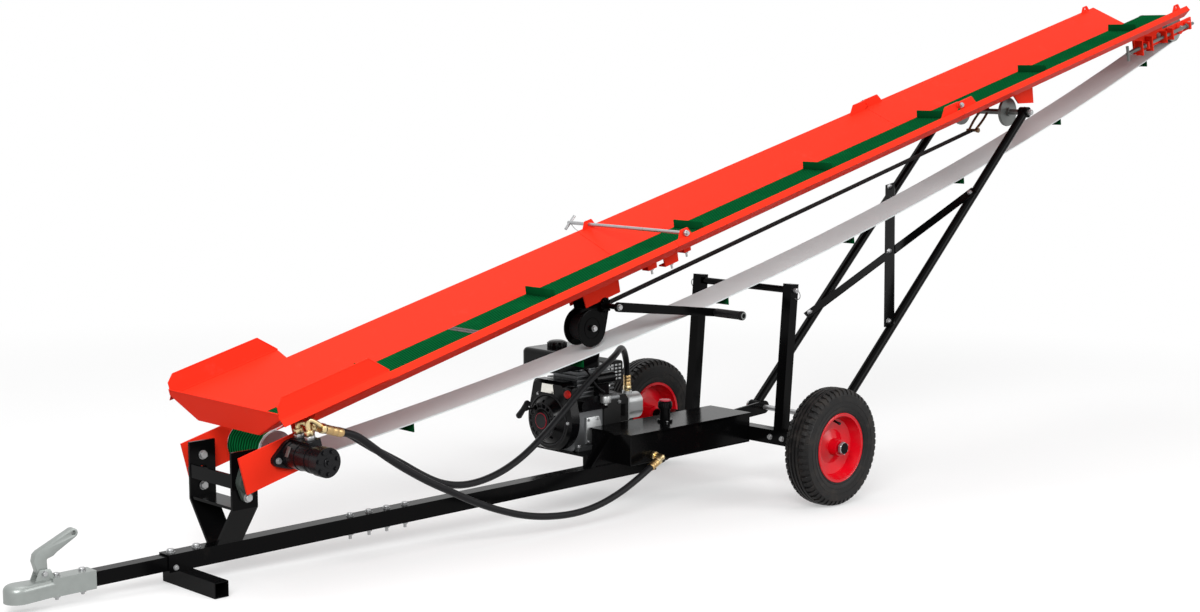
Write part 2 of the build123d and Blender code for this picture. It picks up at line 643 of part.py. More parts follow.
def bell_housing():
    """Square bell housing between the engine and the pump."""
    half = BELL_SIZE / 2
    x = (CRANKCASE_REAR_X, PUMP_FRONT_X)
    bell = block(x, (ENGINE_Y - half, ENGINE_Y + half), (CRANK_Z - half, CRANK_Z + half))
    bell = chamfer(bell.edges().filter_by(Axis.X), 14)
    window = block((x[0] + 14, x[1] - 14), (ENGINE_Y - half - 1, ENGINE_Y + half + 1), (CRANK_Z - 22, CRANK_Z + 22))
    return bell - window


def gear_pump():
    """Gear pump behind the bell housing, with its ported block and end cover."""
    half = PUMP_SIZE / 2
    x = PUMP_FRONT_X
    flange = block((x, x + 14), (ENGINE_Y - half, ENGINE_Y + half), (CRANK_Z - half, CRANK_Z + half))
    outline = round_link([(ENGINE_Y, CRANK_Z - 14, half - 12), (ENGINE_Y, CRANK_Z + 14, half - 12)])
    plane = Plane((x + 14, 0, 0), x_dir=(0, 1, 0), z_dir=(1, 0, 0))
    body = extrude(plane * outline, amount=PUMP_LENGTH - 14, dir=(1, 0, 0))
    port = rod((PUMP_MID_X, ENGINE_Y, CRANK_Z), (PUMP_MID_X, ENGINE_Y, PUMP_PORT_Z), 17)
    return chamfer(flange.edges().filter_by(Axis.X), 8) + body + port


# Posts

def posts():
    """Two leaning posts on the axle."""
    lean = Location((0, POST_HALF_SPREAD, AXLE_Z)) * Rot(0, POST_LEAN, 0)
    height = (CROSSBAR_Z + POST_OVER_BAR - AXLE_Z) / cos(radians(POST_LEAN))
    post = lean * block((-POST_TUBE / 2, POST_TUBE / 2), (-POST_TUBE / 2, POST_TUBE / 2), (0, height))
    return pair(post - block((-90, 90), (0, AXLE_HALF), (0, AXLE_Z + AXLE_TUBE / 2)))


def post_crossbar():
    reach = POST_HALF_SPREAD - POST_TUBE / 2
    return rod((CROSSBAR_X, -reach, CROSSBAR_Z), (CROSSBAR_X, reach, CROSSBAR_Z), CROSSBAR_D / 2)


def leg_pivot_shaft():
    reach = LEG_Y + LEG_EYE_WIDTH / 2 + 12
    collar = LEG_Y + LEG_EYE_WIDTH / 2 + 3
    shaft = rod((LEG_X, -reach, LEG_Z), (LEG_X, reach, LEG_Z), LEG_SHAFT_D / 2)
    return shaft + pair(rod((LEG_X, collar, LEG_Z), (LEG_X, reach, LEG_Z), LEG_SHAFT_D / 2 + 6))


# Conveyor troughs and hopper, in u, y and n

def trough_section(u, half):
    """Folded trough sheet between two u values, with walls out to a half width."""
    edge = PAN_N + (half - PAN_HALF) * WALL_SLOPE
    side = [(half + LIP_OUT, edge - LIP_DOWN), (half, edge), (PAN_HALF, PAN_N)]
    line = side + [(-y, n) for y, n in reversed(side)]
    return folded_sheet(list(reversed(line)), SHEET, u)


def fold_tab(towards):
    """Outline of a hinge tab with its round end at the fold pin and its foot on the wall's edge."""
    foot = FOLD_U + towards * TAB_LENGTH
    near_foot = FOLD_U + towards * (TAB_R + 8)
    wedge = Polygon((FOLD_U, FOLD_N + TAB_R), (foot - towards * 30, FOLD_N + TAB_R), (foot, EDGE_N - 8),
                    (near_foot, EDGE_N - 8), (FOLD_U, FOLD_N - TAB_R), align=None)
    return wedge + Pos(FOLD_U, FOLD_N) * Circle(TAB_R)


def trough_lower():
    """Lower section; its front is wider, as the floor of the hopper."""
    trough = trough_section((TROUGH_FRONT_U, HOPPER_REAR_U), HOPPER_HALF)
    trough += trough_section((HOPPER_REAR_U, SPLICE_U - SECTION_GAP / 2), TROUGH_HALF)
    low = PAN_N + (LIP_BOTTOM_HALF - PAN_HALF) * WALL_SLOPE
    return trough - block((TROUGH_FRONT_U - 1, DRUM_REAR_U), (-LIP_BOTTOM_HALF, LIP_BOTTOM_HALF), (0, low))


def lock_tab():
    """Eye on the trough's edge that carries the lock rod."""
    top = EDGE_N + LOCK_LIFT + LOCK_TAB_OVER
    outline = Polygon((LOCK_U - 34, EDGE_N - 8), (LOCK_U + 34, EDGE_N - 8), (LOCK_U + 16, top), (LOCK_U - 16, top),
                      align=None)
    outline -= Pos(LOCK_U, EDGE_N + LOCK_LIFT) * Circle(LOCK_ROD_D / 2 + SEAT_GAP)
    return side_plate(outline, (TROUGH_HALF - 2 - TAB_WALL, TROUGH_HALF - 2))


def trough_middle():
    """Middle section with the eyes of the lock rod and the fold hinge's inner tabs and pins."""
    trough = trough_section((SPLICE_U + SECTION_GAP / 2, FOLD_U - SECTION_GAP / 2), TROUGH_HALF)
    y = (TROUGH_HALF - 3 - 2 * TAB_WALL - PLATE_GAP, TROUGH_HALF - 3 - TAB_WALL - PLATE_GAP)
    tab = side_plate(fold_tab(-1), y)
    pin = rod((FOLD_U, y[0] - 4, FOLD_N), (FOLD_U, y[1] + TAB_WALL + 8, FOLD_N), FOLD_PIN_D / 2)
    return trough + pair(lock_tab() + tab + pin)


def roller_stop():
    """Plate under the wall against which the legs' shaft comes to rest when the trough is down."""
    hang = PAN_N + (STOP_Y - PAN_HALF) * WALL_SLOPE - SHEET / 2
    front = LEG_TOP_U - 26
    outline = Polygon((front, hang), (front + STOP_LENGTH, hang), (front + STOP_LENGTH - 8, LEG_TOP_N + 4),
                      (LEG_TOP_U + TOP_SHAFT_D / 2 + 13, LEG_TOP_N + 28), align=None)
    return side_plate(outline, (STOP_Y - STOP_WALL / 2, STOP_Y + STOP_WALL / 2))


def trough_upper():
    """Top section with the fold hinge's outer tabs, roller stops, and eyes at its far end."""
    trough = trough_section((FOLD_U + SECTION_GAP / 2, TROUGH_END_U), TROUGH_HALF)
    y = (TROUGH_HALF - 3 - TAB_WALL, TROUGH_HALF - 3)
    tab = side_plate(fold_tab(1) - Pos(FOLD_U, FOLD_N) * Circle(FOLD_PIN_D / 2 + RUN_FIT), y)
    eye_u = TROUGH_END_U - EYE_INSET
    eye = Polygon((eye_u - 34, EDGE_N - 8), (eye_u + 34, EDGE_N - 8), (eye_u + 14, EDGE_N + EYE_HEIGHT),
                  (eye_u - 14, EDGE_N + EYE_HEIGHT), align=None)
    eye -= Pos(eye_u, EDGE_N + EYE_HEIGHT / 2) * Circle(LOCK_ROD_D / 2 + 1)
    return trough + pair(tab + side_plate(eye, y) + roller_stop())


def hopper_guards():
    """Standing wings along the hopper floor and the plate that closes its front."""
    edge = PAN_N + (HOPPER_HALF - PAN_HALF) * WALL_SLOPE
    foot = edge + SEAT_GAP
    wing = Polygon((TROUGH_FRONT_U, foot), (HOPPER_REAR_U, foot), (HOPPER_REAR_U - 60, foot + WING_HEIGHT),
                   (TROUGH_FRONT_U + 22, foot + WING_HEIGHT), (TROUGH_FRONT_U, foot + WING_HEIGHT - 22), align=None)
    wing = side_plate(wing, (HOPPER_HALF - WING_WALL, HOPPER_HALF))
    low = PAN_N + (LIP_BOTTOM_HALF - PAN_HALF) * WALL_SLOPE
    top = foot + LIP_RISE
    front = Polygon((-HOPPER_HALF, top), (HOPPER_HALF, top), (HOPPER_HALF, edge), (LIP_BOTTOM_HALF, low),
                    (-LIP_BOTTOM_HALF, low), (-HOPPER_HALF, edge), align=None)
    plate = extrude(Plane.YZ.offset(TROUGH_FRONT_U) * front, amount=WING_WALL, dir=(-1, 0, 0))
    return pair(wing) + plate


def splice_plates():
    """Straps under the walls that join the lower and middle sections."""
    length, width, wall = SPLICE_PLATE
    tilt = degrees(atan2(WALL_SLOPE, 1))
    middle = (PAN_HALF + TROUGH_HALF) / 2
    seat = PAN_N + (middle - PAN_HALF) * WALL_SLOPE
    strap = Pos(SPLICE_U, middle, seat) * Rot(tilt, 0, 0)
    strap = strap * Pos(0, 0, -SHEET - wall / 2 - SEAT_GAP / 2) * Box(length, width, wall)
    return pair(strap)


def drum_side_plates():
    """Plates that hang from the hopper, hold the drum and turn on the pivot pins."""
    y = (SIDE_PLATE_Y, SIDE_PLATE_Y + SIDE_PLATE_WALL)
    high = PAN_N + (SIDE_PLATE_Y - PAN_HALF) * WALL_SLOPE - SHEET / cos(atan2(WALL_SLOPE, 1)) - SEAT_GAP
    rise_u = DRUM_REAR_U + 6
    outline = Polygon((SIDE_PLATE_FRONT_U, SIDE_PLATE_LOW_N), (SIDE_PLATE_FRONT_U, SIDE_PLATE_HIGH_N),
                      (rise_u, SIDE_PLATE_HIGH_N), (rise_u, high), (SIDE_PLATE_REAR_U, high),
                      (SIDE_PLATE_REAR_U - SIDE_PLATE_RAKE, SIDE_PLATE_LOW_N), align=None)
    plate = side_plate(outline, y)
    inner = ARM_Y - ARM_WALL
    pin = rod((PIVOT_U, inner, PIVOT_N), (PIVOT_U, y[0] + 1, PIVOT_N), PIVOT_PIN_D / 2)
    return pair(plate + pin)


def drum(length, shaft_d, shaft_half):
    """Plain drum with a turned shaft, about Y."""
    roll = rod((0, -length / 2, 0), (0, length / 2, 0), DRUM_R - SEAT_GAP)
    return roll + rod((0, -shaft_half, 0), (0, shaft_half, 0), shaft_d / 2)


def drive_drum():
    return drum(DRUM_LENGTH, DRUM_SHAFT_D, SIDE_PLATE_Y - SEAT_GAP)


def top_roller():
    half = ROLLER_LENGTH / 2
    flange = rod((0, half - ROLLER_FLANGE_WALL, 0), (0, half, 0), ROLLER_FLANGE_R)
    return Pos(BELT_LENGTH, 0, 0) * (drum(ROLLER_LENGTH, ROLLER_SHAFT_D, SLIDE_Y - SEAT_GAP) + pair(flange))


def hydraulic_motor():
    """Orbit motor on the near side plate, with its flange, ports and end cap."""
    seat = -SIDE_PLATE_Y - SIDE_PLATE_WALL
    end = seat - MOTOR_LENGTH
    flange = round_link([(-50, 0, 17), (0, 0, MOTOR_D / 2 + 4), (50, 0, 17)])
    motor = side_plate(flange, (seat - MOTOR_FLANGE, seat))
    motor += rod((0, seat - MOTOR_FLANGE, 0), (0, end + 38, 0), MOTOR_D / 2)
    motor += rod((0, end + 38, 0), (0, end + 34, 0), MOTOR_D / 2 - 4)
    motor += rod((0, end + 34, 0), (0, end, 0), MOTOR_CAP_D / 2)
    y = (seat - PORT_OFFSETS[1] - 22, seat - PORT_OFFSETS[0] + 22)
    motor += block((PORT_U - 22, PORT_U + 18), y, (0, PORT_BASE_N))
    return motor


def motor_fittings():
    """Swept elbows on the two motor ports, turned towards the discharge end."""
    elbows = []
    for offset in PORT_OFFSETS:
        y = -SIDE_PLATE_Y - SIDE_PLATE_WALL - offset
        nut = rod((PORT_U, y, PORT_BASE_N), (PORT_U, y, PORT_BASE_N + 16), PORT_D / 2)
        end = (PORT_U + FITTING_RUN, y, FITTING_TOP_N - FITTING_DROP)
        knee = [(PORT_U, y, FITTING_TOP_N - 16), (PORT_U + 7, y, FITTING_TOP_N - 5),
                (PORT_U + 18, y, FITTING_TOP_N - 18 * FITTING_DROP / FITTING_RUN)]
        bend = Polyline((PORT_U, y, PORT_BASE_N + 16), *knee, end)
        pipe = sweep(Plane(bend @ 0, z_dir=bend % 0) * Circle(FITTING_D / 2), path=bend, transition=Transition.RIGHT)
        elbows.append(nut + pipe)
    return elbows[0] + elbows[1]


def belt_loop(outset):
    """Closed outline of the belt in u and n, at a distance outside the drums."""
    radius = DRUM_R + outset
    arc = SAG_R - BELT_WALL + outset
    middle = BELT_LENGTH / 2
    reach = hypot(middle, SAG_N)
    low = Vector(-middle / reach * arc, -SAG_N / reach * arc)
    drum_low = (middle + low.X, SAG_N + low.Y)
    roller_low = (middle - low.X, SAG_N + low.Y)
    top = Line((0, radius), (BELT_LENGTH, radius))
    nose = ThreePointArc(top @ 1, (BELT_LENGTH + radius, 0), roller_low)
    sag = ThreePointArc(roller_low, (middle, SAG_N - arc), drum_low)
    tail = ThreePointArc(drum_low, (-radius, 0), top @ 0)
    return make_face([top, nose, sag, tail])


def belt_place(along):
    """Place on the belt's outer face at a distance along the loop: its u, n and slope in degrees."""
    if along <= BELT_LENGTH:
        return along, WRAP_R, 0.0
    along -= BELT_LENGTH
    if along <= WRAP_RUN:
        turn = along / WRAP_R
        return BELT_LENGTH + WRAP_R * sin(turn), WRAP_R * cos(turn), degrees(turn)
    along -= WRAP_RUN
    if along <= SAG_RUN:
        angle = SAG_HALF - along / SAG_R
        return BELT_LENGTH / 2 + SAG_R * sin(angle), SAG_N - SAG_R * cos(angle), 180 - degrees(angle)
    turn = pi + SAG_HALF + (along - SAG_RUN) / WRAP_R
    return WRAP_R * sin(turn), WRAP_R * cos(turn), degrees(turn)


def conveyor_belt():
    """Endless belt over drum and roller, slack below, with upright cleats across it."""
    y = (-BELT_WIDTH / 2, BELT_WIDTH / 2)
    belt = side_plate(belt_loop(BELT_WALL) - belt_loop(0), y)
    across = (-CLEAT_WIDTH / 2, CLEAT_WIDTH / 2)
    cleat = block((0, CLEAT_WALL), across, (-1, CLEAT_HEIGHT)) + block((0, CLEAT_FOOT), across, (-1, CLEAT_WALL))
    for index in range(CLEAT_COUNT):
        u, n, turn = belt_place(CLEAT_FIRST_U + index * CLEAT_PITCH)
        belt += Location((u, 0, n)) * Rot(0, turn, 0) * cleat
    return belt


# Winch, strap and lock rod

def winch_hanger():
    """Folded channel under the trough that carries the winch."""
    hang = PAN_UNDER_N - SEAT_GAP
    front = SPOOL_U - 20
    y = (CHEEK_Y + SEAT_GAP, CHEEK_Y + SEAT_GAP + HANGER_WALL)
    outline = Polygon((front, hang), (front + HANGER_LENGTH, hang), (front + HANGER_LENGTH - 4, HANGER_LOW_N),
                      (front + 8, HANGER_LOW_N), align=None)
    web = block((front + 2, front + HANGER_LENGTH - 2), (-y[0], y[0]), (hang - HANGER_WALL, hang))
    hanger = pair(side_plate(outline, y)) + web
    return hanger - rod((CRANK_U, -y[1] - 1, CRANK_N), (CRANK_U, y[1] + 1, CRANK_N), CRANK_EYE_R + SEAT_GAP)


def winch_cheeks():
    """The winch's two round cheeks, each with an arm up into the hanger."""
    y = (CHEEK_Y - CHEEK_WALL, CHEEK_Y)
    top = PAN_UNDER_N - 2 * SEAT_GAP - HANGER_WALL
    cheek = round_link([(SPOOL_U, SPOOL_N, CHEEK_R), (CRANK_U, CRANK_N, CRANK_EYE_R)])
    rear = CRANK_U + CRANK_EYE_R
    cheek += Polygon((SPOOL_U, SPOOL_N), (SPOOL_U, top), (rear, top), (rear, CRANK_N), align=None)
    cheek -= Pos(SPOOL_U, SPOOL_N) * Circle(SPOOL_AXLE_R + SEAT_GAP)
    cheek -= Pos(CRANK_U, CRANK_N) * Circle(CRANK_SHAFT_D / 2 + SEAT_GAP)
    return pair(side_plate(cheek, y))


def winch_spool():
    """Spool wound with strap, on its own axle."""
    half = SPOOL_WIDTH / 2 - 1
    spool = rod((SPOOL_U, -half, SPOOL_N), (SPOOL_U, half, SPOOL_N), SPOOL_R)
    return spool + rod((SPOOL_U, -CHEEK_Y - 8, SPOOL_N), (SPOOL_U, CHEEK_Y + 8, SPOOL_N), SPOOL_AXLE_R)


def winch_crank():
    """Crank shaft, flat arm and grip, on the near side of the winch."""
    drop = radians(CRANK_ARM_DROP)
    end_u = CRANK_U + CRANK_ARM_LENGTH * cos(drop)
    end_n = CRANK_N - CRANK_ARM_LENGTH * sin(drop)
    shaft = rod((CRANK_U, CRANK_ARM_Y, CRANK_N), (CRANK_U, CHEEK_Y + 10, CRANK_N), CRANK_SHAFT_D / 2)
    arm = side_plate(round_link([(CRANK_U, CRANK_N, 16), (end_u, end_n, 14)]), (CRANK_ARM_Y - 8, CRANK_ARM_Y))
    grip_y = CRANK_ARM_Y - 8 - CRANK_GRIP_LENGTH
    grip = rod((end_u, CRANK_ARM_Y - 8, end_n), (end_u, grip_y, end_n), CRANK_GRIP_D / 2)
    return shaft + arm + grip


def lift_strap():
    """Strap from the spool up to the shackle on the legs' top shaft."""
    y = (-STRAP_WIDTH / 2, STRAP_WIDTH / 2)
    return block((SPOOL_U, SHACKLE_U - SHACKLE_PIN_R - SEAT_GAP), y, (STRAP_N - STRAP_WALL, STRAP_N))


def lock_rod():
    """Rod across the trough with a wing handle on the far side."""
    n = EDGE_N + LOCK_LIFT
    far = TROUGH_HALF + LOCK_HANDLE_OUT
    bar = rod((LOCK_U, -TROUGH_HALF - 14, n), (LOCK_U, far, n), LOCK_ROD_D / 2)
    wing = rod((LOCK_U - 26, far - 8, n - 16), (LOCK_U + 26, far - 8, n + 16), LOCK_ROD_D / 2 - 1)
    return bar + wing + rod((LOCK_U, TROUGH_HALF + 2, n), (LOCK_U, TROUGH_HALF + 8, n), 12)


# Top roller slides

def roller_tensioners():
    """Slide plates that carry the top roller, with their draw screws and brackets."""
    y = (SLIDE_Y, SLIDE_Y + SLIDE_WALL)
    nose = BELT_LENGTH + SLIDE_NOSE
    outline = Polygon((nose - SLIDE_LENGTH, -SLIDE_HEIGHT / 2), (nose, -SLIDE_HEIGHT / 2), (nose, SLIDE_HEIGHT / 2),
                      (nose - SLIDE_LENGTH, SLIDE_HEIGHT / 2), align=None)
    plate = side_plate(outline, y)
    wall = PAN_N + (SLIDE_Y - PAN_HALF) * WALL_SLOPE - SHEET / cos(atan2(WALL_SLOPE, 1)) - SEAT_GAP
    bracket = block((nose - SLIDE_LENGTH, TROUGH_END_U), y, (SLIDE_HEIGHT / 2 - 1, wall))
    mid = y[1] + SCREW_D / 2 + 10
    lug_u = nose - SLIDE_LENGTH + 60
    lug = block((lug_u, lug_u + 12), (y[1] - 1, mid + 16), (-16, 16))
    lug += block((nose - 70, nose - 58), (y[1] - 1, mid + 16), (-16, 16))
    screw_u = lug_u - SCREW_OUT
    screw = rod((screw_u, mid, 0), (screw_u + SCREW_LENGTH, mid, 0), SCREW_D / 2)
    tee = rod((screw_u + 8, mid, -30), (screw_u + 8, mid, 30), 6)
    return pair(plate + bracket + lug + screw + tee)


# Lift legs, along X from the lower shaft

def leg_tubes():
    """Round legs with an eye on the lower shaft and a collar for the top shaft."""
    tube = rod((0, LEG_Y, 0), (LEG_LENGTH, LEG_Y, 0), LEG_TUBE_D / 2)
    tube -= rod((LEG_EYE_D / 2 + 10, LEG_Y, 0), (LEG_LENGTH - 30, LEG_Y, 0), LEG_TUBE_D / 2 - LEG_TUBE_WALL)
    width = LEG_EYE_WIDTH / 2
    for at in (0, LEG_LENGTH):
        tube += rod((at, LEG_Y - width, 0), (at, LEG_Y + width, 0), LEG_EYE_D / 2)
    tube -= rod((0, LEG_Y - 60, 0), (0, LEG_Y + 60, 0), LEG_SHAFT_D / 2 + RUN_FIT)
    tube -= rod((LEG_LENGTH, LEG_Y - 60, 0), (LEG_LENGTH, LEG_Y + 60, 0), TOP_SHAFT_D / 2 + SEAT_GAP)
    return pair(tube)


def brace(sign, seat):
    """Flat bar from the low place on one leg to the high place on the other."""
    run = degrees(atan2(-sign * 2 * LEG_Y, BRACE_HIGH - BRACE_LOW))
    length = hypot(2 * LEG_Y, BRACE_HIGH - BRACE_LOW) + BRACE_WIDTH
    bar = Pos((BRACE_LOW + BRACE_HIGH) / 2, 0, seat + BRACE_WALL / 2) * Rot(0, 0, run)
    return bar * Box(length, BRACE_WIDTH, BRACE_WALL)


def leg_brace_low():
    return brace(1, LEG_TUBE_D / 2 + SEAT_GAP)


def leg_brace_high():
    """The other brace, packed off the legs so that it lies on the first."""
    seat = LEG_TUBE_D / 2 + 2 * SEAT_GAP + BRACE_WALL
    bar = brace(-1, seat)
    for at, y in ((BRACE_LOW, -LEG_Y), (BRACE_HIGH, LEG_Y)):
        bar += rod((at, y, LEG_TUBE_D / 2 + SEAT_GAP), (at, y, seat + 1), BRACE_WIDTH / 2 - 4)
    return bar


def leg_top_shaft():
    """Shaft across the leg tops with the two rollers that run under the trough."""
    reach = LEG_Y + LEG_EYE_WIDTH / 2 + 8
    shaft = rod((LEG_LENGTH, -reach, 0), (LEG_LENGTH, reach, 0), TOP_SHAFT_D / 2)
    wheel = (ROLLER_WHEEL_Y - ROLLER_WHEEL_WIDTH / 2, ROLLER_WHEEL_Y + ROLLER_WHEEL_WIDTH / 2)
    return shaft + pair(rod((LEG_LENGTH, wheel[0], 0), (LEG_LENGTH, wheel[1], 0), ROLLER_WHEEL_R))


def strap_shackle():
    """Shackle round the top shaft that takes the strap's end; laid out in u, y and n."""
    hole = TOP_SHAFT_D / 2 + SEAT_GAP
    pin_n = STRAP_N - STRAP_WALL / 2
    link = round_link([(LEG_TOP_U, LEG_TOP_N, hole + 6), (SHACKLE_U, pin_n, SHACKLE_PIN_R + 2)])
    link -= Pos(LEG_TOP_U, LEG_TOP_N) * Circle(hole)
    y = (STRAP_WIDTH / 2 + 2, STRAP_WIDTH / 2 + 8)
    cheeks = pair(side_plate(link, y))
    return cheeks + rod((SHACKLE_U, -y[1], pin_n), (SHACKLE_U, y[1], pin_n), SHACKLE_PIN_R)


# Hoses: routes in the level frame, from the motor's fittings to the pump and the tank

def motor_tail(offset):
    """First two points of a hose: the end of a motor fitting, and a place straight out of it."""
    y = -SIDE_PLATE_Y - SIDE_PLATE_WALL - offset
    u, n = PORT_U + FITTING_RUN, FITTING_TOP_N - FITTING_DROP
    stretch = HOSE_TAIL / hypot(FITTING_RUN, FITTING_DROP)
    ends = [(u, n), (u + FITTING_RUN * stretch, n - FITTING_DROP * stretch)]
    return [(x, y, z) for x, z in (level_point(*end) for end in ends)]


def pump_arch():
    """Last points of the pressure hose: over the engine's corner and down on the pump."""
    lead_x, lead_y = -0.833, -0.552
    along, z = 0.0, PUMP_PORT_Z + 20
    points = [(PUMP_MID_X, ENGINE_Y, z)]
    for run, lean in ((44, 0), (44, 20), (44, 40), (44, 60), (44, 80), (80, 100)):
        along += run * sin(radians(lean))
        z += run * cos(radians(lean))
        points.append((PUMP_MID_X + lead_x * along, ENGINE_Y + lead_y * along, z))
    return points[::-1]


HOSE_PRESSURE_ROUTE = motor_tail(PORT_OFFSETS[0]) + [
    (-1858, -182, 472), (-1805, -183, 437), (-1745, -180, 400), (-1653, -172, 350), (-1570, -163, 300),
    (-1490, -153, 260), (-1400, -140, 236), (-1300, -124, 232), (-1190, -104, 246), (-1080, -80, 277),
    (-960, -46, 325), (-845, -8, 376), (-740, 24, 426), (-632, 50, 477)] + pump_arch()
HOSE_RETURN_ROUTE = motor_tail(PORT_OFFSETS[1]) + [
    (-1858, -229, 470), (-1805, -227, 432), (-1745, -222, 388), (-1670, -215, 340), (-1575, -209, 285),
    (-1480, -203, 238), (-1385, -198, 190), (-1285, -193, 149), (-1180, -188, 114), (-1070, -183, 92),
    (-955, -178, 82), (-845, -171, 89), (-740, -163, 113), (-655, -153, 141), (-590, -144, 165), (-545, -136, 181)]


def cord_radii(points):
    """Bend radius at each inner point: as large as its two runs allow."""
    radii = []
    for before, at, after in zip(points, points[1:], points[2:]):
        run_in = Vector(*at) - Vector(*before)
        run_out = Vector(*after) - Vector(*at)
        half_turn = radians(run_in.get_angle(run_out)) / 2
        radii.append(0.45 * min(run_in.length, run_out.length) / tan(half_turn))
    return radii


def hose(points):
    """Round hose along a route of straight runs and tangent arcs."""
    radii = cord_radii(points)
    route = FilletPolyline(*points, radius=radii)
    tube = sweep(Plane(route @ 0, z_dir=route % 0) * Circle(HOSE_D / 2), path=route)
    print("hose length", round(route.length), "smallest radius", round(min(radii)),
          "volume ratio", round(tube.volume / (pi * (HOSE_D / 2) ** 2 * route.length), 4))
    return tube


def hose_pressure():
    return hose(HOSE_PRESSURE_ROUTE)


def hose_return():
    return hose(HOSE_RETURN_ROUTE)


def chassis_fittings():
    """Pump outlet union, suction pipe into the tank, and the return elbow on the tank's side."""
    union = rod((PUMP_MID_X, ENGINE_Y, PUMP_PORT_Z), HOSE_PRESSURE_ROUTE[-1], FITTING_D / 2)
    before, end = Vector(*HOSE_RETURN_ROUTE[-2]), Vector(*HOSE_RETURN_ROUTE[-1])
    corner = end + (end - before).normalized() * 36
    tank_side = (corner.X, -TANK_WIDTH / 2, corner.Z)
    elbow = rod(tank_side, tuple(corner), FITTING_D / 2 + 1) + rod(tuple(corner), tuple(end), FITTING_D / 2)
    return union + elbow + Pos(*corner) * Sphere(FITTING_D / 2 + 1)


# Nodes, by the frame in which each is laid out

LEVEL_NODES = [
    coupling_head, coupling_lever, drawbar_stub, drawbar_front, drawbar_rear, parking_foot, pivot_bracket,
    pivot_bearings, oil_tank, tank_filler, engine_deck, engine_block, blower_housing, fuel_tank, muffler,
    carburettor, starter_handle, bell_housing, gear_pump, chassis_fittings, axle_beam, posts, post_crossbar,
    leg_pivot_shaft, hose_pressure, hose_return]
CONVEYOR_NODES = [
    trough_lower, trough_middle, trough_upper, hopper_guards, splice_plates, drum_side_plates, drive_drum,
    hydraulic_motor, motor_fittings, conveyor_belt, winch_hanger, winch_cheeks, winch_spool, winch_crank,
    lift_strap, lock_rod, top_roller, roller_tensioners, strap_shackle]
LEG_NODES = [leg_tubes, leg_brace_low, leg_brace_high, leg_top_shaft]

nodes = {}
for side, sign in (("left", -1), ("right", 1)):
    place = Pos(0, sign * HALF_TRACK, AXLE_Z) * Rot(0, 0, 90 + 90 * sign)
    nodes["tyre_" + side] = place * tyre()
    nodes["rim_" + side] = place * rim()
for place, makers in ((Location(), LEVEL_NODES), (CONVEYOR, CONVEYOR_NODES), (LEGS, LEG_NODES)):
    for maker in makers:
        nodes[maker.__name__] = place * maker()

# The origin is on the ground, under the middle of the parked machine's length.
parked = {name: PARKED * shape for name, shape in nodes.items()}
low_x = min(shape.bounding_box().min.X for shape in parked.values())
high_x = max(shape.bounding_box().max.X for shape in parked.values())
CENTRED = Pos(-(low_x + high_x) / 2, 0, 0)

os.makedirs("parts", exist_ok=True)
for name, shape in parked.items():
    export_step(CENTRED * shape, f"parts/{name}.step")

STANDING = CENTRED * PARKED
for label, x, z in (("axle", 0, AXLE_Z), ("tilt", PIVOT_X, PIVOT_Z), ("legs", LEG_X, LEG_Z),
                    ("fold", *level_point(FOLD_U, FOLD_N)), ("socket", COUPLING_BALL_X, BAR_BOTTOM + 2)):
    spot = (STANDING * Pos(x, 0, z)).position
    print(label, round(spot.X, 3), round(spot.Z, 3))
print("pitch", round(PARK_PITCH, 4), "legs", round(LEG_ANGLE, 3), round(LEG_LENGTH, 2))
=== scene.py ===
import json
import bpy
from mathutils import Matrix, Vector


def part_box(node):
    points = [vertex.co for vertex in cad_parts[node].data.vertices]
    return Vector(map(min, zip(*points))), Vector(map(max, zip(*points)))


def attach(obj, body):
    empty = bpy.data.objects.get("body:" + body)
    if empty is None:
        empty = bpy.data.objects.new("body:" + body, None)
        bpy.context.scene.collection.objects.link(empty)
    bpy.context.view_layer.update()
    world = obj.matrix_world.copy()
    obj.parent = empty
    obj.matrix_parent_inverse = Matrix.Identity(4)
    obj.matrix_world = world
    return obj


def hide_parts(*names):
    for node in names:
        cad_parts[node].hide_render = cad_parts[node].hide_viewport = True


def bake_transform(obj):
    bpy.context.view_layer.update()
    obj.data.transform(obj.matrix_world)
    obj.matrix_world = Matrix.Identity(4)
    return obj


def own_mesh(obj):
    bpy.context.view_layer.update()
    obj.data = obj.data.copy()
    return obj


bl_info = {
    "name": "Firewood Conveyor Finish",
    "version": (1, 0, 0),
    "blender": (4, 5, 0),
    "location": "View3D > Sidebar > Conveyor",
    "description": "Dresses the frame of a towable firewood conveyor",
    "category": "Object",
}

from math import asin, cos, pi, radians, sin, tau

import bpy
from bpy.props import FloatProperty, FloatVectorProperty, IntProperty, PointerProperty
from mathutils import Matrix, Vector

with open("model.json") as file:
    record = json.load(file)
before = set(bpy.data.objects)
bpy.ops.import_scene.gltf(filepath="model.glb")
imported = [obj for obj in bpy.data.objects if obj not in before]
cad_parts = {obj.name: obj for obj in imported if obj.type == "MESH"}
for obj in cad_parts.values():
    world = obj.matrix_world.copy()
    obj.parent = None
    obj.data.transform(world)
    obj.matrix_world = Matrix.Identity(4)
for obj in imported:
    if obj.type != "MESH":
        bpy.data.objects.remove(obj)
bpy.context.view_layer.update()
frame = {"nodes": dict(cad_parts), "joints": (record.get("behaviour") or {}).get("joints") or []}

# Places taken from the frame. Pieces are modelled in millimetres, in the layout of the part they sit on.
PARK_PITCH = radians(1.9351)
MILLIMETRES = Matrix.Scale(0.001, 4)
ALONG, ACROSS, UP = (1, 0, 0), (0, 1, 0), (0, 0, 1)


def middle(node):
    """Centre of a frame node's box."""
    low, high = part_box(node)
    return (low + high) / 2


def sloped(start, end):
    """Layout whose X runs from one shaft to another and whose Y stays level."""
    along = (end - start).normalized()
    across = Vector(ACROSS)
    up = along.cross(across)
    turn = Matrix((along, across, up)).transposed().to_4x4()
    return Matrix.Translation(Vector((start.x, 0, start.z))) @ turn @ MILLIMETRES


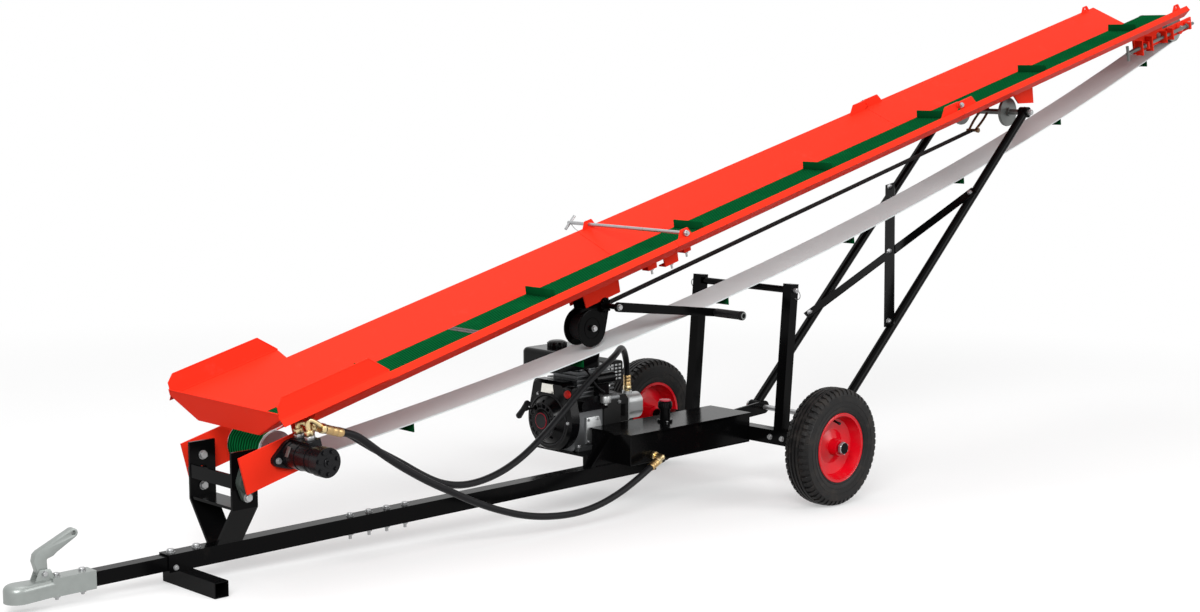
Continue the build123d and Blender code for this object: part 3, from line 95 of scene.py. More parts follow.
AXLE = middle("tyre_left")
DRUM = middle("drive_drum")
LEVEL = (Matrix.Translation((AXLE.x, 0, AXLE.z)) @ Matrix.Rotation(-PARK_PITCH, 4, "Y")
         @ Matrix.Translation((0, 0, -AXLE.z)) @ MILLIMETRES)
CONVEYOR = sloped(DRUM, middle("top_roller"))
LEGS = sloped(middle("leg_pivot_shaft"), middle("leg_top_shaft"))
AXLE_Z = AXLE.z * 1000
HALF_TRACK = -AXLE.y * 1000
BELT_LENGTH = (middle("top_roller") - DRUM).length * 1000
LEG_LENGTH = (middle("leg_top_shaft") - middle("leg_pivot_shaft")).length * 1000
SIDES = (-1, 1)
# Layouts with the bodies that pieces modelled in them ride on.
ON_CHASSIS = (LEVEL, "chassis")
ON_CONVEYOR = (CONVEYOR, "conveyor")
ON_TOP = (CONVEYOR, "top_section")
ON_LEGS = (LEGS, "lift_legs")


# Modelling helpers

def clear():
    """Object mode, with nothing selected."""
    if bpy.context.object and bpy.context.object.mode != "OBJECT":
        bpy.ops.object.mode_set(mode="OBJECT")
    bpy.ops.object.select_all(action="DESELECT")


def only(obj):
    """Select one object and make it active."""
    clear()
    obj.select_set(True)
    bpy.context.view_layer.objects.active = obj
    return obj


def apply_modifier(obj, kind, **settings):
    """Add a modifier, set it and apply it."""
    only(obj)
    modifier = obj.modifiers.new(kind.lower(), kind)
    for name, value in settings.items():
        setattr(modifier, name, value)
    bpy.ops.object.modifier_apply(modifier=modifier.name)
    return obj


def soften(obj, width, segments=2, angle=30):
    """Round the sharp edges of a piece."""
    return apply_modifier(obj, "BEVEL", width=width, segments=segments, limit_method="ANGLE",
                          angle_limit=radians(angle), use_clamp_overlap=True)


def bake_place(obj):
    """Move an object's place into its mesh."""
    only(obj)
    bpy.ops.object.transform_apply(location=True, rotation=True, scale=True)
    return obj


def aim(point, direction):
    """Matrix that puts a piece's Z along a direction, at a point."""
    return Matrix.Translation(point) @ Vector(direction).to_track_quat("Z", "Y").to_matrix().to_4x4()


def moved(obj, place):
    """Piece put at a place, which goes into its mesh."""
    obj.matrix_world = place
    return bake_place(obj)


def cuboid(low, high, bevel=0.0):
    """Block between two corners."""
    low, high = Vector(low), Vector(high)
    clear()
    bpy.ops.mesh.primitive_cube_add(size=1, location=(low + high) / 2)
    obj = bpy.context.object
    obj.scale = high - low
    bake_place(obj)
    return soften(obj, bevel) if bevel else obj


def barrel(start, end, radius, sides=24, tip=None):
    """Round bar or cone between two points."""
    start, end = Vector(start), Vector(end)
    clear()
    bpy.ops.mesh.primitive_cone_add(vertices=sides, radius1=radius, radius2=radius if tip is None else tip,
                                    depth=(end - start).length)
    return moved(bpy.context.object, aim((start + end) / 2, end - start))


def ring(centre, axis, radius, wire, steps=28, sides=8):
    """Torus about an axis."""
    clear()
    bpy.ops.mesh.primitive_torus_add(major_radius=radius, minor_radius=wire, major_segments=steps,
                                     minor_segments=sides)
    return moved(bpy.context.object, aim(centre, axis))


def hexagon(start, end, radius, edge=0.8):
    """Nut or fitting between two points."""
    return soften(barrel(start, end, radius, 6), edge, 1)


def round_turns(count, axis):
    """Equal turns about an axis, once round."""
    return [Matrix.Rotation(tau * i / count, 4, axis) for i in range(count)]


def trace(points, closed=True):
    """New mesh, left in edit mode, whose edges join the points in turn."""
    clear()
    bpy.ops.mesh.primitive_plane_add(size=1)
    obj = bpy.context.object
    bpy.ops.object.mode_set(mode="EDIT")
    bpy.ops.mesh.select_all(action="SELECT")
    bpy.ops.mesh.merge(type="CENTER")
    bpy.ops.transform.translate(value=Vector(points[0]))
    for before, after in zip(points, points[1:]):
        bpy.ops.mesh.extrude_vertices_move(TRANSFORM_OT_translate={"value": Vector(after) - Vector(before)})
    if closed:
        bpy.ops.mesh.select_all(action="SELECT")
        bpy.ops.mesh.edge_face_add()
    return obj


def tidy_mesh(obj, gap=0.01):
    """Merge doubles and point the faces outwards, then leave edit mode."""
    bpy.ops.mesh.select_all(action="SELECT")
    bpy.ops.mesh.remove_doubles(threshold=gap)
    bpy.ops.mesh.normals_make_consistent(inside=False)
    bpy.ops.object.mode_set(mode="OBJECT")
    return obj


def slab(points, push, bevel=0.0):
    """Plate with an outline, pushed out by a vector."""
    obj = trace(points)
    bpy.ops.mesh.extrude_region_move(TRANSFORM_OT_translate={"value": Vector(push)})
    tidy_mesh(obj)
    return soften(obj, bevel) if bevel else obj


def lathe(points, axis, steps):
    """Outline spun a whole turn about an axis through the origin."""
    obj = trace(points, closed=False)
    bpy.ops.mesh.select_all(action="SELECT")
    bpy.ops.mesh.spin(steps=steps, angle=tau, center=(0, 0, 0), axis=axis)
    return tidy_mesh(obj)


def merged(parts):
    """Several meshes as one."""
    clear()
    for part in parts:
        part.select_set(True)
    bpy.context.view_layer.objects.active = parts[0]
    if len(parts) > 1:
        bpy.ops.object.join()
    return parts[0]


def repeated(obj, places):
    """Copies of a piece at several places, as one mesh."""
    twins = []
    for place in places:
        twin = obj.copy()
        twin.data = obj.data.copy()
        bpy.context.scene.collection.objects.link(twin)
        twins.append(moved(twin, place @ obj.matrix_world))
    bpy.data.objects.remove(obj)
    return merged(twins)


def seat(obj, name, place, body, finish, smooth=35):
    """Put a finished piece in its place, on its body and in its finish."""
    moved(obj, place @ obj.matrix_world)
    bpy.ops.object.shade_smooth_by_angle(angle=radians(smooth))
    obj.data.materials.clear()
    obj.data.materials.append(FINISH[finish])
    obj.name = name
    obj.data.name = name
    finish in FINISH_SLOT
    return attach(obj, body)


def bolt(flats, tail=0.0, grip=0.0):
    """Hex head on a washer that seats on z = 0, with a nut and thread below where there is a tail."""
    parts = [barrel((0, 0, 0), (0, 0, flats * 0.12), flats * 0.66, 20)]
    parts.append(soften(barrel((0, 0, flats * 0.12), (0, 0, flats * 0.54), flats * 0.577, 6), flats * 0.05, 1))
    if tail:
        parts.append(barrel((0, 0, -grip - flats * 0.5), (0, 0, -grip), flats * 0.577, 6))
        parts.append(barrel((0, 0, -grip - tail), (0, 0, -grip - flats * 0.5), flats * 0.29, 12))
    return merged(parts)


def bolts(spots, name, place, body, *size):
    """Zinc bolts of one size, each at its spot."""
    return seat(repeated(bolt(*size), spots), name, place, body, "zinc")


# Shader expressions

class Value:
    """A shader socket on which arithmetic adds Math nodes."""

    def __init__(self, graph, socket):
        self.graph = graph
        self.socket = socket

    def maths(self, operation, first, second=0.0):
        return self.graph.node("Math", {"operation": operation}, {0: first, 1: second})

    def __add__(self, other):
        return self.maths("ADD", self, other)

    __radd__ = __add__

    def __sub__(self, other):
        return self.maths("SUBTRACT", self, other)

    def __rsub__(self, other):
        return self.maths("SUBTRACT", other, self)

    def __mul__(self, other):
        return self.maths("MULTIPLY", self, other)

    __rmul__ = __mul__

    def __pow__(self, other):
        return self.maths("POWER", self, other)

    def sine(self):
        return self.maths("SINE", self)

    def ramp(self, low, high):
        """0 below low, 1 above high, smooth between."""
        limits = {"Value": self, "From Min": low, "From Max": high}
        return self.graph.node("MapRange", {"interpolation_type": "SMOOTHSTEP"}, limits)


class Graph:
    """The nodes of a material or world, each added by its type, settings and inputs."""

    def __init__(self, owner):
        self.owner = owner
        owner.use_nodes = True
        self.tree = owner.node_tree
        self.tree.nodes.clear()
        self.place = self.node("TexCoord", output="Object")

    def node(self, kind, settings=None, inputs=None, output=0):
        made = self.tree.nodes.new("ShaderNode" + kind)
        for name, value in (settings or {}).items():
            setattr(made, name, value)
        for name, value in (inputs or {}).items():
            if isinstance(value, Value):
                self.tree.links.new(value.socket, made.inputs[name])
            else:
                made.inputs[name].default_value = value
        return Value(self, made.outputs[output]) if made.outputs else None

    def noise(self, scale, detail=3.0, roughness=0.55):
        inputs = {"Vector": self.place, "Scale": scale, "Detail": detail, "Roughness": roughness}
        return self.node("TexNoise", {}, inputs)

    def axis(self, name, vector=None):
        return self.node("SeparateXYZ", {}, {0: vector or self.place}, output=name)

    def mix(self, factor, first, second):
        """Blend of two colours."""
        return self.node("Mix", {"data_type": "RGBA"}, {0: factor, 6: first, 7: second}, output=2)

    def bump(self, height, distance, strength=1.0):
        inputs = {"Strength": strength, "Distance": distance, "Height": height}
        return self.node("Bump", {}, inputs)

    def surface(self, **sockets):
        """Close the material with a principled shader."""
        inputs = {name.replace("_", " "): value for name, value in sockets.items()}
        shader = self.node("BsdfPrincipled", {}, inputs)
        self.node("OutputMaterial", {}, {"Surface": shader})
        return self.owner

    def seen(self):
        """1 for the rays that show a thing as it looks, 0 for those that only light others."""
        rays = [self.node("LightPath", output=f"Is {kind} Ray") for kind in ("Camera", "Glossy", "Transmission")]
        return rays[0].maths("MAXIMUM", rays[0].maths("MAXIMUM", rays[0], rays[1]), rays[2])


def rgba(colour):
    return (*colour, 1.0)


def shade(colour, amount):
    """The colour, darker below 1 and lighter above."""
    return rgba([min(1.0, part * amount) for part in colour])


# Finishes

def paint(name, colour, roughness, gloss=0.22, dust=0.06):
    """Sprayed paint with faint orange peel, uneven gloss and a little dust."""
    g = Graph(bpy.data.materials.new(name))
    cloud = g.noise(3.0, 4.0)
    dusty = g.noise(14.0, 5.0, 0.65).ramp(0.58, 0.80) * dust
    base = g.mix(cloud, shade(colour, 0.92), shade(colour, 1.06))
    base = g.mix(dusty, base, (0.30, 0.24, 0.20, 1.0))
    peel = g.noise(420.0, 2.0)
    return g.surface(Base_Color=base, Roughness=dusty * 1.4 + cloud * 0.12 + (roughness - 0.06),
                     Specular_IOR_Level=gloss, Normal=g.bump(peel, 0.00012, 0.5))


def plated(name, colour, roughness, metallic=1.0):
    """Zinc plating: bright metal with faint streaks and clouding."""
    g = Graph(bpy.data.materials.new(name))
    cloud = g.noise(38.0, 4.0)
    base = g.mix(cloud, shade(colour, 0.86), shade(colour, 1.08))
    return g.surface(Base_Color=base, Metallic=metallic, Roughness=cloud * 0.18 + (roughness - 0.09),
                     Normal=g.bump(g.noise(300.0, 3.0), 0.0001, 0.5))


def casting(name, colour, metallic, roughness):
    """Sand-cast or die-cast surface with a fine pebble grain."""
    g = Graph(bpy.data.materials.new(name))
    grain = g.noise(260.0, 3.0, 0.6)
    cloud = g.noise(16.0, 4.0)
    base = g.mix(cloud, shade(colour, 0.82), shade(colour, 1.12))
    return g.surface(Base_Color=base, Metallic=metallic, Roughness=grain * 0.12 + (roughness - 0.06),
                     Specular_IOR_Level=0.16, Normal=g.bump(grain, 0.0005, 0.6))


def moulding(name, colour, roughness):
    """Moulded plastic or smooth rubber."""
    g = Graph(bpy.data.materials.new(name))
    cloud = g.noise(30.0, 3.0)
    base = g.mix(cloud, shade(colour, 0.85), shade(colour, 1.15))
    return g.surface(Base_Color=base, Roughness=cloud * 0.12 + (roughness - 0.06), Specular_IOR_Level=0.14,
                     Normal=g.bump(g.noise(500.0, 2.0), 0.00015, 0.5))


def tyre_rubber(name, colour):
    """Tread rubber, browner and duller where dust has settled."""
    g = Graph(bpy.data.materials.new(name))
    dust = g.noise(26.0, 6.0, 0.65).ramp(0.46, 0.72)
    base = g.mix(dust * 0.6, rgba(colour), (0.040, 0.034, 0.030, 1.0))
    return g.surface(Base_Color=base, Roughness=dust * 0.2 + 0.45, Specular_IOR_Level=0.16,
                     Normal=g.bump(g.noise(350.0, 3.0), 0.0004, 0.6))


def belt_cover(name, colour):
    """Green belt cover with fine ribs along its length, the grooves between the ribs painted darker as shade."""
    g = Graph(bpy.data.materials.new(name))
    across = g.axis("Y", g.node("UVMap"))
    rib = (across * (tau / 0.0125)).sine() * 0.5 + 0.5
    wear = g.noise(9.0, 4.0)
    # The grooves between the ribs are painted far darker than the cover's green, as painted shade; the ribs' relief
    # also comes from the bump.
    base = g.mix(rib ** 1.6, shade(colour, 0.22), shade(colour, 1.25))
    base = g.mix(wear.ramp(0.45, 0.8) * 0.2, base, shade(colour, 1.5))
    return g.surface(Base_Color=base, Roughness=wear * 0.15 + 0.60, Specular_IOR_Level=0.0,
                     Normal=g.bump(rib, 0.0016, 0.8))


def belt_back(name, colour):
    """Pale woven fabric on the belt's inner side."""
    g = Graph(bpy.data.materials.new(name))
    across = g.axis("Y", g.node("UVMap"))
    along = g.axis("X", g.node("UVMap"))
    weave = (along * (tau / 0.004)).sine() * (across * (tau / 0.004)).sine() * 0.5 + 0.5
    cloud = g.noise(7.0, 4.0)
    base = g.mix(cloud, shade(colour, 0.9), shade(colour, 1.06))
    return g.surface(Base_Color=base, Roughness=cloud * 0.1 + 0.6, Specular_IOR_Level=0.1,
                     Normal=g.bump(weave, 0.0004, 0.5))


def webbing(name, colour):
    """Woven strap with ribs along its length."""
    g = Graph(bpy.data.materials.new(name))
    rib = (g.axis("Y") * (tau / 0.005)).sine() * 0.5 + 0.5
    base = g.mix(rib, shade(colour, 0.6), shade(colour, 1.4))
    return g.surface(Base_Color=base, Roughness=0.75, Specular_IOR_Level=0.15, Normal=g.bump(rib, 0.0006, 0.7))


FINISH = {}


def make_finishes(colours):
    """Every finish of the machine, by name."""
    makers = {
        "trough red": (paint, tuple(colours.trough), 0.42, 0.03),
        "rim red": (paint, tuple(colours.rim), 0.18, 0.30),
        "chassis black": (paint, tuple(colours.chassis), 0.16, 0.05, 0.02),
        "zinc": (plated, (0.40, 0.405, 0.41), 0.30, 0.7),
        "dull zinc": (plated, (0.15, 0.158, 0.152), 0.38, 0.6),
        "silver zinc": (plated, (0.29, 0.312, 0.30), 0.38, 0.5),
        "gold zinc": (plated, (0.66, 0.52, 0.28), 0.32),
        "brass": (plated, (0.46, 0.31, 0.14), 0.36),
        "bronze": (plated, (0.17, 0.105, 0.055), 0.34, 0.8),
        # Cream-bright plating, used only for the plate that stands in for a painted highlight on the engine shroud.
        "bright steel": (plated, (0.78, 0.76, 0.70), 0.18),
        "grey casting": (casting, (0.060, 0.074, 0.066), 0.2, 0.5),
        "dark alloy": (casting, (0.16, 0.165, 0.17), 0.8, 0.42),
        "motor black": (casting, (0.005, 0.005, 0.006), 0.0, 0.28),
        "cast alloy": (casting, (0.42, 0.43, 0.43), 1.0, 0.46),
        "heat black": (casting, (0.006, 0.006, 0.006), 0.0, 0.55),
        "engine black": (moulding, (0.003, 0.003, 0.0035), 0.20),
        "hose rubber": (moulding, (0.006, 0.006, 0.007), 0.42),
        "grip black": (moulding, (0.008, 0.008, 0.009), 0.5),
        "grille grey": (moulding, (0.022, 0.022, 0.024), 0.34),
        "switch red": (moulding, (0.62, 0.02, 0.015), 0.3),
        "cap red": (moulding, (0.42, 0.03, 0.05), 0.35),
        "tyre": (tyre_rubber, (0.0075, 0.0072, 0.0072)),
        "belt green": (belt_cover, tuple(colours.belt)),
        # Pale grey fabric, made lighter and tinted cool to cancel the red light bounced on it from the trough and its
        # shade: a painted correction of light.
        "belt grey": (belt_back, (0.72, 0.77, 0.775)),
        "strap": (webbing, (0.010, 0.010, 0.011)),
    }
    for name, (maker, *values) in makers.items():
        FINISH[name] = maker(name, *values)


SLOT_FINISHES = {
    "red_paint": ("trough red", "rim red"), "black_paint": ("chassis black",),
    "zinc_steel": ("zinc", "silver zinc", "dull zinc", "bright steel"),
    "fitting_brass": ("gold zinc", "brass", "bronze"), "grey_cast_iron": ("grey casting",),
    "black_casting": ("motor black", "heat black"), "engine_alloy": ("cast alloy", "dark alloy"),
    "engine_black": ("engine black", "grip black", "grille grey"), "tyre_rubber": ("tyre",),
    "hose_rubber": ("hose rubber",), "green_belt": ("belt green",), "strap_webbing": ("strap",),
}
FINISH_SLOT = {finish: slot for slot, finishes in SLOT_FINISHES.items() for finish in finishes}
NODE_FINISH = {
    "trough red": ("trough_lower", "trough_middle", "trough_upper", "hopper_guards", "splice_plates",
                   "drum_side_plates", "roller_tensioners", "winch_hanger"),
    "rim red": ("rim_left", "rim_right"),
    "chassis black": ("drawbar_stub", "drawbar_front", "drawbar_rear", "parking_foot", "pivot_bracket", "oil_tank",
                      "engine_deck", "axle_beam", "posts", "post_crossbar", "leg_tubes", "leg_brace_low",
                      "leg_brace_high", "winch_crank", "winch_cheeks", "tank_filler"),
    "zinc": ("leg_pivot_shaft", "lock_rod", "top_roller", "drive_drum"),
    "dull zinc": ("leg_top_shaft",),
    "silver zinc": ("coupling_head", "coupling_lever"),
    "gold zinc": ("chassis_fittings", "motor_fittings"),
    "bronze": ("strap_shackle",),
    "grey casting": ("pivot_bearings",),
    "motor black": ("hydraulic_motor",),
    "cast alloy": ("gear_pump",),
    "dark alloy": ("engine_block",),
    "heat black": ("bell_housing", "muffler"),
    "engine black": ("blower_housing", "fuel_tank", "carburettor", "starter_handle"),
    "tyre": ("tyre_left", "tyre_right"),
    "hose rubber": ("hose_pressure", "hose_return"),
    "belt green": ("conveyor_belt",),
    "strap": ("lift_strap", "winch_spool"),
}


class ConveyorColours(bpy.types.PropertyGroup):
    """Paint and belt colours."""

    trough: FloatVectorProperty(name="Trough", description="Paint of trough and hopper", subtype="COLOR",
                                default=(0.88, 0.034, 0.014), min=0, max=1)
    rim: FloatVectorProperty(name="Rim", description="Paint of the wheel rims", subtype="COLOR",
                             default=(0.62, 0.002, 0.010), min=0, max=1)
    chassis: FloatVectorProperty(name="Chassis", description="Paint of chassis and legs", subtype="COLOR",
                                 default=(0.0022, 0.0022, 0.0024), min=0, max=1)
    belt: FloatVectorProperty(name="Belt", description="Cover of the belt", subtype="COLOR",
                              default=(0.0035, 0.120, 0.032), min=0, max=1)


class ConveyorSizes(bpy.types.PropertyGroup):
    """Sizes of the fine pieces, in millimetres."""

    bolt_flats: FloatProperty(name="Bolt", description="Width across flats of the main bolts", default=17.0, min=8)
    tread_blocks: IntProperty(name="Tread blocks", description="Shoulder blocks round each tyre", default=54, min=8)
    tread_depth: FloatProperty(name="Tread depth", description="Depth of the tread grooves", default=6.0, min=1)
    hose_diameter: FloatProperty(name="Hose", description="Outside diameter of the hoses", default=22.0, min=8)
    belt_segments: IntProperty(name="Belt segments", description="Pieces along the belt loop", default=420, min=60)


def sizes():
    return bpy.context.scene.conveyor_sizes


class CONVEYOR_OT_finishes(bpy.types.Operator):
    """Make the finishes and put them on the frame's nodes"""

    bl_idname = "conveyor.finishes"
    bl_label = "Finishes"

    def execute(self, context):
        make_finishes(context.scene.conveyor_colours)
        for finish, nodes in NODE_FINISH.items():
            for node in nodes:
                mesh = frame["nodes"][node].data
                mesh.materials.clear()
                mesh.materials.append(FINISH[finish])
        return {"FINISHED"}


# Wheels

WHEELS = (("left", -1), ("right", 1))
TYRE_WIDTH = 100.0
TYRE_BEAD_R = 113.0


def tyre_section(outer, depth):
    """Half-open outline of the tyre in Y and Z, from one bead over the crown to the other."""
    half = TYRE_WIDTH / 2
    bulge = (outer + TYRE_BEAD_R) / 2
    side = [(half * 0.70, TYRE_BEAD_R), (half * 0.86, TYRE_BEAD_R + 8), (half * 0.97, bulge - 20), (half, bulge + 2),
            (half * 0.98, bulge + 22), (half * 0.90, outer - 20), (half * 0.74, outer - 9)]
    crown = [(half * 0.42, outer - 1 - depth), (half * 0.38, outer - 1), (half * 0.22, outer),
             (half * 0.18, outer - depth), (half * 0.12, outer - depth), (half * 0.08, outer)]
    line = side + crown
    return [(0, y, z) for y, z in line] + [(0, -y, z) for y, z in reversed(line)]


def tread_block(outer):
    """Shoulder block at the top of the tyre, on its +Y side."""
    half = TYRE_WIDTH / 2
    outline = [(0, half * 0.47, outer - 1.0), (0, half * 0.76, outer - 5), (0, half * 0.91, outer - 15),
               (0, half * 0.99, outer - 30), (0, half * 0.95, outer - 34), (0, half * 0.47, outer - 10)]
    return soften(slab([(x - 7, y, z) for x, y, z in outline], (14, 0, 0)), 0.8, 1)


class CONVEYOR_OT_tyres(bpy.types.Operator):
    """Tyres with ribs, shoulder blocks and side-wall rings"""

    bl_idname = "conveyor.tyres"
    bl_label = "Tyres"

    def execute(self, context):
        size = sizes()
        for node, sign in WHEELS:
            body = lathe(tyre_section(AXLE_Z, size.tread_depth), ACROSS, 72)
            blocks = []
            step = tau / size.tread_blocks
            for mirror in (1, -1):
                turns = [Matrix.Rotation(step * (i + 0.25 * mirror), 4, "Y") for i in range(size.tread_blocks)]
                flip = Matrix.Rotation(pi, 4, "Z") if mirror < 0 else Matrix.Identity(4)
                blocks.append(repeated(tread_block(AXLE_Z), [turn @ flip for turn in turns]))
            rings = [ring((0, side * out, 0), ACROSS, radius, 1.5, 64, 6)
                     for side in (1, -1) for out, radius in ((44.4, 125), (48.2, 141), (49.4, 158))]
            tyre = merged([body] + blocks + rings)
            place = LEVEL @ Matrix.Translation((0, sign * HALF_TRACK, AXLE_Z))
            seat(tyre, "tread_" + node, place, "wheel_" + node, "tyre")
            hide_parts("tyre_" + node)
        return {"FINISHED"}


class CONVEYOR_OT_wheel_fittings(bpy.types.Operator):
    """Rim beads, valves and hub nuts"""

    bl_idname = "conveyor.wheel_fittings"
    bl_label = "Wheel fittings"

    def execute(self, context):
        for node, sign in WHEELS:
            place = LEVEL @ Matrix.Translation((0, sign * HALF_TRACK, AXLE_Z))
            bead = ring((0, sign * 41, 0), ACROSS, 116.5, 3.4, 72, 8)
            seat(bead, "rim_bead_" + node, place, "wheel_" + node, "rim red")
            valve = merged([barrel((0, sign * 2, 92), (0, sign * 30, 84), 4, 12),
                            barrel((0, sign * 30, 84), (0, sign * 38, 82), 5, 12)])
            seat(valve, "valve_" + node, place, "wheel_" + node, "grip black")
            nut = hexagon((0, sign * 46.5, 0), (0, sign * 58.5, 0), 23.0, 1.2)
            seat(nut, "hub_nut_" + node, place, "chassis", "zinc")
        return {"FINISHED"}


# Belt

DRUM_R = 55.0
BELT_WALL = 4.0
BELT_WIDTH = 150.0
BELT_SAG = 155.0
CLEAT_PITCH = 712.0
CLEAT_FIRST = 419.0
CLEAT_COUNT = 14
WRAP_R = DRUM_R + BELT_WALL
SAG_LOW = WRAP_R + BELT_SAG
SAG_R = ((BELT_LENGTH / 2) ** 2 + SAG_LOW ** 2 - WRAP_R ** 2) / (2 * (SAG_LOW - WRAP_R))
SAG_HALF = asin(BELT_LENGTH / 2 / (SAG_R - WRAP_R))
WRAP_RUN = WRAP_R * (pi - SAG_HALF)
SAG_RUN = 2 * SAG_HALF * SAG_R
BELT_RUN = BELT_LENGTH + 2 * WRAP_RUN + SAG_RUN


def belt_point(along):
    """Place on the belt's outer face at a distance from the drum's top, and the way out of it, in u and n."""
    along = along % BELT_RUN
    if along < BELT_LENGTH:
        return Vector((along, 0, WRAP_R)), Vector(UP)
    along -= BELT_LENGTH
    if along < WRAP_RUN:
        out = Vector((sin(along / WRAP_R), 0, cos(along / WRAP_R)))
        return Vector((BELT_LENGTH, 0, 0)) + out * WRAP_R, out
    along -= WRAP_RUN
    if along < SAG_RUN:
        angle = SAG_HALF - along / SAG_R
        out = Vector((sin(angle), 0, -cos(angle)))
        return Vector((BELT_LENGTH / 2, 0, SAG_R - SAG_LOW)) + out * SAG_R, out
    angle = pi + SAG_HALF + (along - SAG_RUN) / WRAP_R
    out = Vector((sin(angle), 0, cos(angle)))
    return out * WRAP_R, out


def belt_strip(segments):
    """Loop of the belt with its cover outside and its fabric inside."""
    clear()
    bpy.ops.mesh.primitive_grid_add(x_subdivisions=segments, y_subdivisions=4, size=1)
    strip = bpy.context.object
    layer = strip.data.uv_layers.active.data
    for loop in strip.data.loops:
        spot = strip.data.vertices[loop.vertex_index].co
        layer[loop.index].uv = ((spot.x + 0.5) * BELT_RUN / 1000, (spot.y + 0.5) * BELT_WIDTH / 1000)
    for vertex in strip.data.vertices:
        along = (vertex.co.x + 0.5) * BELT_RUN if vertex.co.x < 0.4999 else 0.0
        vertex.co = belt_point(along)[0] + Vector((0, vertex.co.y * BELT_WIDTH, 0))
    only(strip)
    bpy.ops.object.mode_set(mode="EDIT")
    bpy.ops.mesh.select_all(action="SELECT")
    bpy.ops.mesh.remove_doubles(threshold=0.05)
    bpy.ops.object.mode_set(mode="OBJECT")
    return strip


def cleat():
    """Angle-shaped cleat with a folded foot and chamfered ends, standing on z = 0."""
    half = 70.0
    upright = slab([(0, -half, 0), (0, half, 0), (0, half - 3, 29), (0, 3 - half, 29)], (4, 0, 0), 0.8)
    foot = cuboid((0, -half, -0.4), (38, half, 3.4), 0.8)
    return merged([upright, foot])


class CONVEYOR_OT_belt(bpy.types.Operator):
    """Belt with ribbed cover, fabric back and cleats"""

    bl_idname = "conveyor.belt"
    bl_label = "Belt"

    def execute(self, context):
        strip = belt_strip(sizes().belt_segments)
        strip.data.materials.append(FINISH["belt green"])
        strip.data.materials.append(FINISH["belt grey"])
        apply_modifier(strip, "SOLIDIFY", thickness=BELT_WALL, offset=-1.0, material_offset=1, material_offset_rim=1)
        places = []
        for index in range(CLEAT_COUNT):
            point, out = belt_point(CLEAT_FIRST + index * CLEAT_PITCH)
            onward = Vector(ACROSS).cross(out)
            places.append(Matrix.Translation(point) @ Matrix((onward, ACROSS, out)).transposed().to_4x4())
        cleats = repeated(cleat(), places)
        cleats.data.materials.append(FINISH["belt green"])
        belt = merged([strip, cleats])
        moved(belt, CONVEYOR)
        bpy.ops.object.shade_smooth_by_angle(angle=radians(35))
        belt.name = "belt"
        fold = next(joint for joint in frame["joints"] if joint["name"] == "top_fold")["pos_m"]
        along = (CONVEYOR.to_3x3() @ Vector(ALONG)).normalized()
        Vector(fold) - along * 0.30
        Vector(fold) + along * 0.30
        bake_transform(belt)
        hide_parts("conveyor_belt")
        return {"FINISHED"}


# Hoses

PRESSURE_ROUTE = [
    (-1962.0, -180, 499.8), (-1918.3, -180, 485.6), (-1858, -182, 472), (-1805, -183, 437), (-1745, -180, 400),
    (-1653, -172, 350), (-1570, -163, 300), (-1490, -153, 260), (-1400, -140, 236), (-1300, -124, 232),
    (-1190, -104, 246), (-1080, -80, 277), (-960, -46, 325), (-845, -8, 376), (-740, 24, 426), (-632, 50, 477),
    (-525.6, 77.6, 514.8), (-459.9, 121.1, 528.7), (-423.8, 145.0, 521.1), (-392.1, 166.1, 499.1),
    (-368.5, 181.7, 465.3), (-356.0, 190.0, 424.0), (-356.0, 190.0, 380.0)]
RETURN_ROUTE = [
    (-1962.0, -230, 499.8), (-1918.3, -230, 485.6), (-1858, -229, 470), (-1805, -227, 432), (-1745, -222, 388),
    (-1670, -215, 340), (-1575, -209, 285), (-1480, -203, 238), (-1385, -198, 190), (-1285, -193, 149),
    (-1180, -188, 114), (-1070, -183, 92), (-955, -178, 82), (-845, -171, 89), (-740, -163, 113),
    (-655, -153, 141), (-590, -144, 165), (-545, -136, 181)]


def route_curve(name, points, radius):
    """Smooth curve through a hose's route, as thick as the hose."""
    data = bpy.data.curves.new(name, "CURVE")
    data.dimensions = "3D"
    data.resolution_u = 6
    data.bevel_depth = radius
    data.bevel_resolution = 5
    data.use_fill_caps = radius > 0
    spline = data.splines.new("NURBS")
    spline.points.add(len(points) - 1)
    for knot, point in zip(spline.points, points):
        knot.co = (*point, 1.0)
    spline.order_u = 3
    spline.use_endpoint_u = True
    curve = bpy.data.objects.new(name, data)
    bpy.context.scene.collection.objects.link(curve)
    only(curve)
    bpy.ops.object.convert(target="MESH")
    return bpy.context.object


def centreline(points):
    """Points along the middle of a hose, close together."""
    line = route_curve("centreline", points, 0.0)
    places = [tuple(vertex.co) for vertex in line.data.vertices]
    bpy.data.objects.remove(line)
    return places


def ferrule(reach):
    """Crimped sleeve over a hose's end, with two rolled grooves, along z."""
    line = [(9.5, 0), (13.2, 0)]
    for at in (reach * 0.35, reach * 0.65):
        line += [(13.2, at - 2), (12.2, at), (13.2, at + 2)]
    line += [(13.2, reach - 3), (11.3, reach)]
    return lathe([(r, 0, z) for r, z in line], UP, 24)


class CONVEYOR_OT_hoses(bpy.types.Operator):
    """Pressure and return hoses with their crimped ends"""

    bl_idname = "conveyor.hoses"
    bl_label = "Hoses"

    def execute(self, context):
        diameter = sizes().hose_diameter / 1000
        for node, points in (("hose_pressure", PRESSURE_ROUTE), ("hose_return", RETURN_ROUTE)):
            route = [LEVEL @ Vector(point) for point in points]
            path = centreline(route)
            hose = route_curve(node + "_tube", route, diameter / 2)
            hose.data.materials.clear()
            hose.data.materials.append(FINISH["hose rubber"])
            only(hose)
            bpy.ops.object.shade_smooth_by_angle(angle=radians(60))
            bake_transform(hose)
            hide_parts(node)
            ends = [(route[0], route[1], "conveyor", 62), (route[-1], route[-2], "chassis", 36)]
            for at, inward, body, reach in ends:
                place = aim(at, inward - at) @ MILLIMETRES
                seat(ferrule(reach), f"{node}_ferrule_{body}", place, body, "brass")
                nut = hexagon((0, 0, -17), (0, 0, -2), 15.0)
                seat(nut, f"{node}_nut_{body}", place, body, "gold zinc")
        return {"FINISHED"}


# Fasteners

